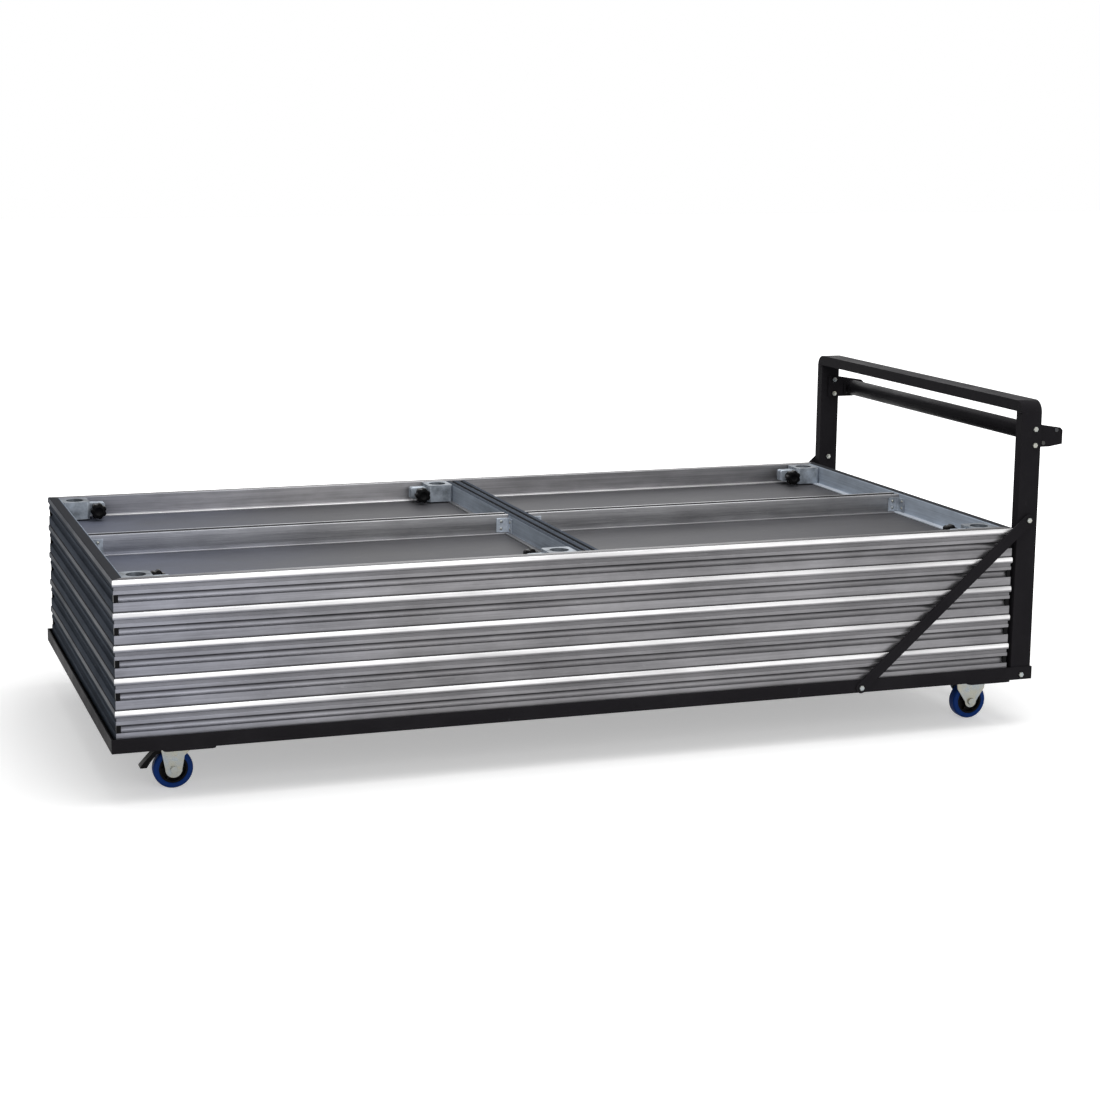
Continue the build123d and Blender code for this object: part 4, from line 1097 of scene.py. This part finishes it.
class TROLLEY_OT_decks(bpy.types.Operator):
    """Finish the decks: extruded rims and inner rails, boards and cast leg clamps"""

    bl_idname = "trolley.decks"
    bl_label = "Decks"

    def execute(self, context):
        look = finishes()
        rim = material("rim_aluminium", extruded_aluminium, look.rim_grey, 1.25, rim_areas)
        rail = material("rail_aluminium", extruded_aluminium, look.rail_grey, 1.0, rail_areas)
        cast = material("sand_cast_aluminium", cast_aluminium, look.cast_grey, look.plastic_black)
        pale = material("cleat_aluminium", cast_aluminium, look.cleat_grey)
        board = material("film_faced_board", film_board, look.board_grey)
        for deck in DECKS:
            build(deck + "_rim", [rim_bars(deck)], [rim], deck, deck + "_frame")
            build(deck + "_plugs", [groove_plugs(deck)], [plastic()], deck)
            own_rails = "top_deck_inner_rails" if deck == "top_deck" else None
            rails = inner_rail_bars(deck)
            build(deck + "_rails", [rails], [rail], deck, own_rails)
            build(deck + "_cleats", cleats(deck), [pale, zinc()], deck)
        dress(nodes_in("deck_board"), board)
        dress(nodes_in("cast_aluminium"), cast, edge_width=1.4)
        return {"FINISHED"}


class TROLLEY_OT_knobs(bpy.types.Operator):
    """Make the fluted knobs with their screws and nut plates"""

    bl_idname = "trolley.knobs"
    bl_label = "Clamp knobs"

    def execute(self, context):
        for place in KNOB_PLACES:
            knob(place)
        return {"FINISHED"}


class TROLLEY_OT_frame(bpy.types.Operator):
    """Finish the trolley's frame, hoop and push handle, and lay the weld beads"""

    bl_idname = "trolley.frame"
    bl_label = "Frame"

    def execute(self, context):
        dress(nodes_in("black_steel"), coat(), edge_width=0.8)
        frame_welds()
        return {"FINISHED"}


class TROLLEY_OT_castors(bpy.types.Operator):
    """Finish the castors and make their tyres"""

    bl_idname = "trolley.castors"
    bl_label = "Castors"

    def execute(self, context):
        dress(nodes_in("zinc_plated_steel"), zinc(), edge_width=0.4)
        dress(["handle_rivets"], material("dull_zinc", zinc_plate, finishes().rivet_grey))
        dress(HUBS_AND_PEDALS, plastic(), edge_width=0.6)
        for place in WHEEL_PLACES:
            tyre(place)
        return {"FINISHED"}


class TROLLEY_OT_stage(bpy.types.Operator):
    """Lay the floor and set the light and the camera"""

    bl_idname = "trolley.stage"
    bl_label = "Stage"

    def execute(self, context):
        lay_floor()
        set_world()
        set_lamps()
        set_camera()
        context.scene.view_settings.view_transform = "Standard"
        return {"FINISHED"}


def lay_floor():
    """Pale floor that keeps the shadow, with light of its own that grows away from the object."""
    half, near, far, near_light, far_light = 30.0, 1.2, 3.2, 0.4, 1.0
    mesh = bpy.data.meshes.new("floor")
    corners = [(-half, -half, 0), (half, -half, 0), (half, half, 0), (-half, half, 0)]
    mesh.from_pydata(corners, [], [(0, 1, 2, 3)])
    floor = add_object("floor", mesh)
    tree = Tree(bpy.data.materials.new("pale_floor"))
    distance = tree.add("VectorMath", {0: tree.place}, operation="LENGTH").outputs["Value"]
    light = tree.remap(distance, near, far, near_light, far_light, interpolation_type="SMOOTHSTEP")
    mesh.materials.append(tree.finish(
        Base_Color=rgba((0.8, 0.8, 0.8)), Roughness=0.9, Emission_Color=rgba((1, 1, 1)),
        Emission_Strength=tree.times(tree.seen_directly(), light),
    ))


def set_world():
    """Soft even light from all round, and a white background where it is seen."""
    all_round, seen = 0.45, 1.0
    world = bpy.data.worlds.new("studio")
    tree = Tree(world, "Background")
    strength = tree.choose(tree.seen_directly(), all_round, seen)
    bpy.context.scene.world = tree.finish(Color=rgba((1, 1, 1)), Strength=strength)


def lamp(name, place, aim_height, size, power):
    """Square soft lamp that points at a height over the middle of the floor."""
    data = bpy.data.lights.new(name, "AREA")
    data.shape = "SQUARE"
    data.size = size
    data.energy = power
    light = add_object(name, data)
    light.location = place
    aim = Vector((0, 0, aim_height)) - Vector(place)
    light.rotation_euler = aim.to_track_quat("-Z", "Y").to_euler()


def set_lamps():
    """One broad lamp overhead, one low in front and one behind."""
    lamp("overhead", (0.4, -0.6, 4.2), aim_height=0.4, size=3.6, power=120)
    lamp("front", (-0.1, -5.5, 2.6), aim_height=0.3, size=3.0, power=62)
    lamp("behind", (1.5, 4.5, 3.0), aim_height=0.4, size=3.0, power=50)


def set_camera():
    """Camera at the photograph's viewing angle: rolled, tilted down from level and turned."""
    view = bpy.context.scene.trolley_stage
    data = bpy.data.cameras.new("camera")
    data.lens = view.lens
    data.sensor_width = 36
    data.shift_x, data.shift_y = view.shift
    camera = add_object("camera", data)
    level = Matrix.Rotation(math.pi / 2 - view.pitch, 4, "X") @ Matrix.Rotation(view.roll, 4, "Z")
    turn = Matrix.Rotation(-view.yaw, 4, "Z") @ level
    camera.matrix_world = Matrix.Translation(view.camera_place) @ turn
    bpy.context.scene.camera = camera


class TROLLEY_PT_panel(bpy.types.Panel):
    """Panel with the trolley's settings and its operators"""

    bl_label = "Storage Trolley"
    bl_idname = "TROLLEY_PT_panel"
    bl_space_type = "VIEW_3D"
    bl_region_type = "UI"
    bl_category = "Trolley"

    def draw(self, context):
        for name in SETTINGS:
            group = getattr(context.scene, name)
            box = self.layout.box()
            for field in group.__annotations__:
                box.prop(group, field)
        for operator in OPERATORS:
            self.layout.operator(operator.bl_idname)


SETTINGS = {
    "trolley_finishes": TrolleyFinishes,
    "trolley_knobs": TrolleyKnobs,
    "trolley_tyres": TrolleyTyres,
    "trolley_welds": TrolleyWelds,
    "trolley_stage": TrolleyStage,
}
OPERATORS = (
    TROLLEY_OT_decks, TROLLEY_OT_knobs, TROLLEY_OT_frame, TROLLEY_OT_castors, TROLLEY_OT_stage,
)


def register():
    """Registers the settings, the operators and the panel."""
    for name, group in SETTINGS.items():
        bpy.utils.register_class(group)
        setattr(bpy.types.Scene, name, PointerProperty(type=group))
    for kind in (*OPERATORS, TROLLEY_PT_panel):
        bpy.utils.register_class(kind)


def unregister():
    """Takes them all away again."""
    for kind in (TROLLEY_PT_panel, *reversed(OPERATORS)):
        bpy.utils.unregister_class(kind)
    for name, group in reversed(SETTINGS.items()):
        delattr(bpy.types.Scene, name)
        bpy.utils.unregister_class(group)


def main():
    """Makes everything in order."""
    register()
    bpy.ops.trolley.decks()
    bpy.ops.trolley.knobs()
    bpy.ops.trolley.frame()
    bpy.ops.trolley.castors()
    bpy.ops.trolley.stage()


if __name__ == "__main__":
    main()
